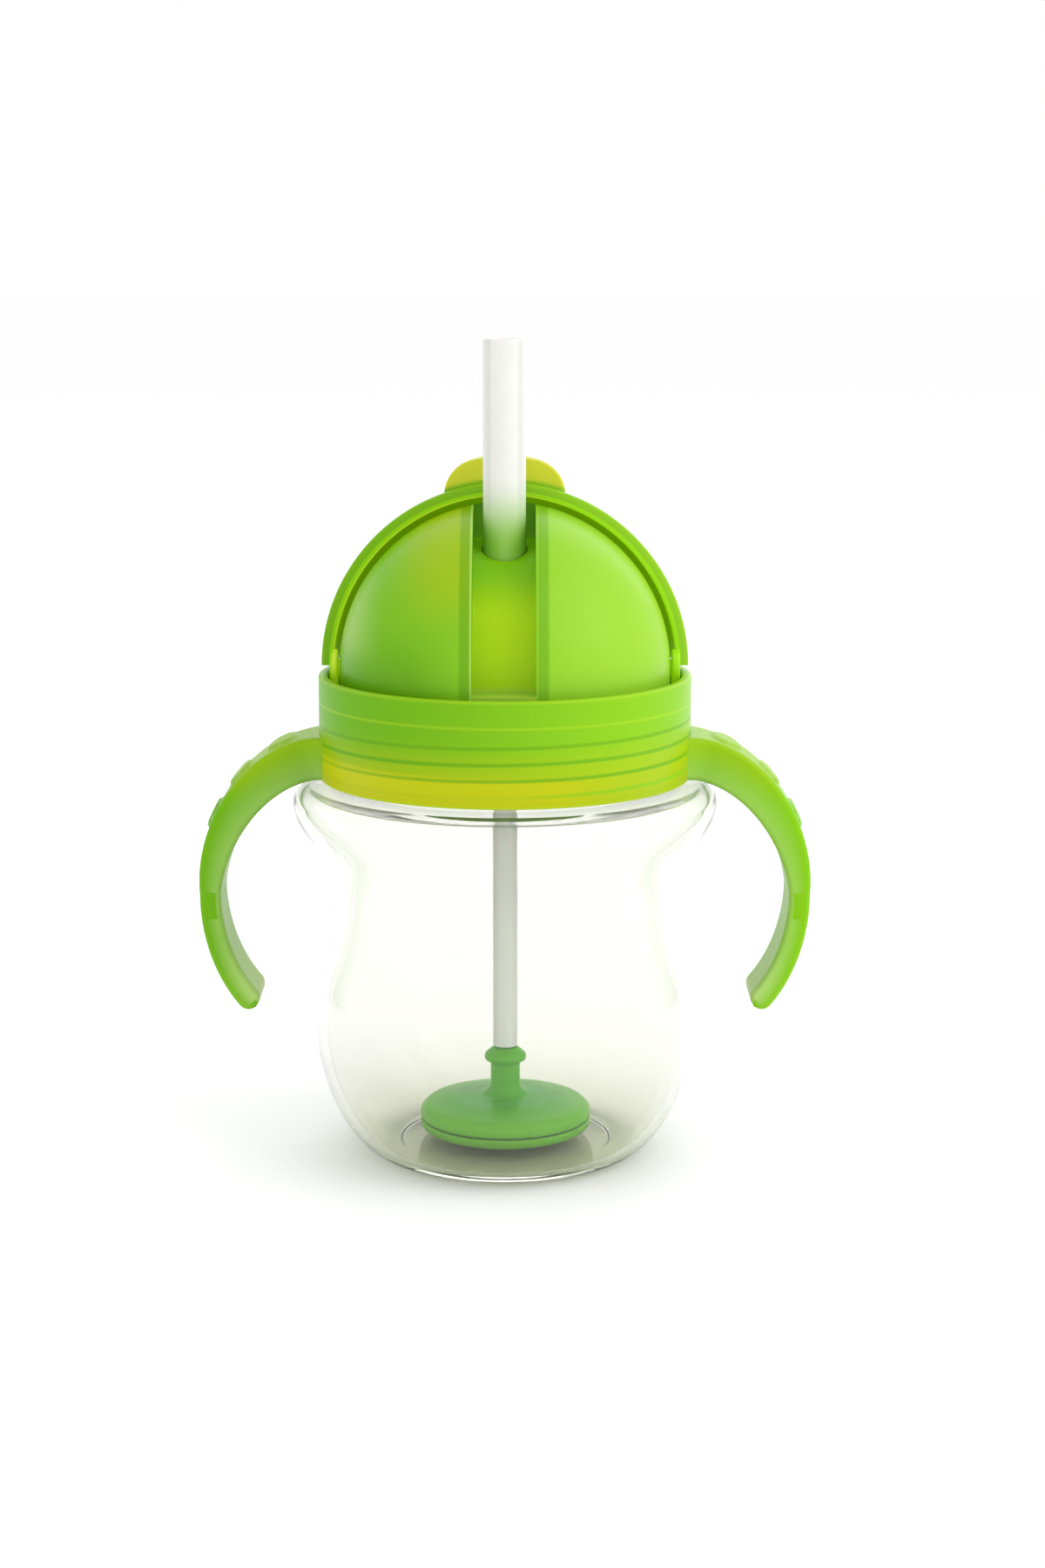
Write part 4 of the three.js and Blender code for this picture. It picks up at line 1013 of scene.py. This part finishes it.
case_top = lathe(
    "weight_case_top",
    [
        (CASE_BORE, SEAM_ABOVE), (CASE, SEAM_ABOVE), (CASE, SHOULDER_FOOT),
        (CASE_BORE - 0.05 * mm, 8.9 * mm), (SLOPE, 10.02 * mm), (CROWN, CROWN_TOP),
        (WEIGHT_STEM, 12.2 * mm), (WEIGHT_STEM, 17.1 * mm), (KNOB, KNOB_LOW), (KNOB, KNOB_HIGH),
        (TUBE, WEIGHT_NIPPLE_FOOT), (WEIGHT_NIPPLE, WEIGHT_NIPPLE_FOOT),
        (WEIGHT_NIPPLE, WEIGHT_NIPPLE_TOP), (WEIGHT_WAY, WEIGHT_NIPPLE_TOP),
        (WEIGHT_WAY, 9.2 * mm), (SLOPE, 8.8 * mm), (CASE_BORE, SHOULDER_FOOT),
    ],
    0.5 * mm, 96,
)
case_base = lathe(
    "weight_case_base",
    [
        (INTAKE, CASE_FOOT), (15.4 * mm, CASE_FOOT), (16.5 * mm, 4.2 * mm), (CASE, CASE_FLOOR),
        (CASE, SEAM_BELOW), (CASE_BORE, SEAM_BELOW), (CASE_BORE, CASE_FLOOR), (INTAKE, CASE_FLOOR),
    ],
    0.4 * mm, 96,
)
weight_green, shader, place, (x, y, z) = moulded("weight_green", 0.3, subsurface=0.1)
shader.inputs["Specular IOR Level"].default_value = 0.1
radial = place.math("SQRT", x * x + y * y)
haze_and_sheen = place.node("ShaderNodeTexNoise", {}, {"Vector": place, "Scale": 120.0, "Detail": 2.0})
deep = (haze_and_sheen * 0.5 + 0.25).mix((0.02, 0.33, 0.0), (0.05, 0.42, 0.0))
# Painted light: the case turns paler towards its rim and on its top.
lit_rim_and_top = (radial.ramp(7 * mm, 17 * mm) * 0.55 + z.ramp(9 * mm, 12 * mm) * 0.3).mix(deep, (0.26, 0.66, 0.04))
dress(
    shader, weight_green.node_tree, Base_Color=lit_rim_and_top, Roughness=0.22 + 0.16 * haze_and_sheen,
    Normal=ripple(place, 5 * mm, 0.05 * mm),
)
for piece, node in ((case_top, "weight_top"), (case_base, "weight_base")):
    piece.data.materials.append(weight_green)
    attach(piece, "weighted_straw")
    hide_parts(node)

# ---- Steel disc ----
# The turned steel ring that makes the straw follow the drink. It is closed inside the case, and
# its faces have the fine round grooves of a lathe.
STEEL = 15.35 * mm
STEEL_FOOT = 5.2 * mm
STEEL_TOP = 7.4 * mm
GROOVES = 9000.0
steel = ring("steel_ring", INTAKE, STEEL, STEEL_FOOT, STEEL_TOP, 0.3 * mm, 96)
brushed, shader, place, (x, y, z) = moulded("brushed_steel", 0.32)
shader.inputs["Metallic"].default_value = 1.0
groove = place.math("SINE", place.math("SQRT", x * x + y * y) * GROOVES)
bright_steel = (groove * 0.5 + 0.5).mix((0.48, 0.48, 0.50), (0.62, 0.62, 0.63))
dress(shader, brushed.node_tree, Base_Color=bright_steel, Roughness=0.3 + 0.06 * groove)
steel.data.materials.append(brushed)
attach(steel, "weighted_straw")
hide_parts("steel_weight")
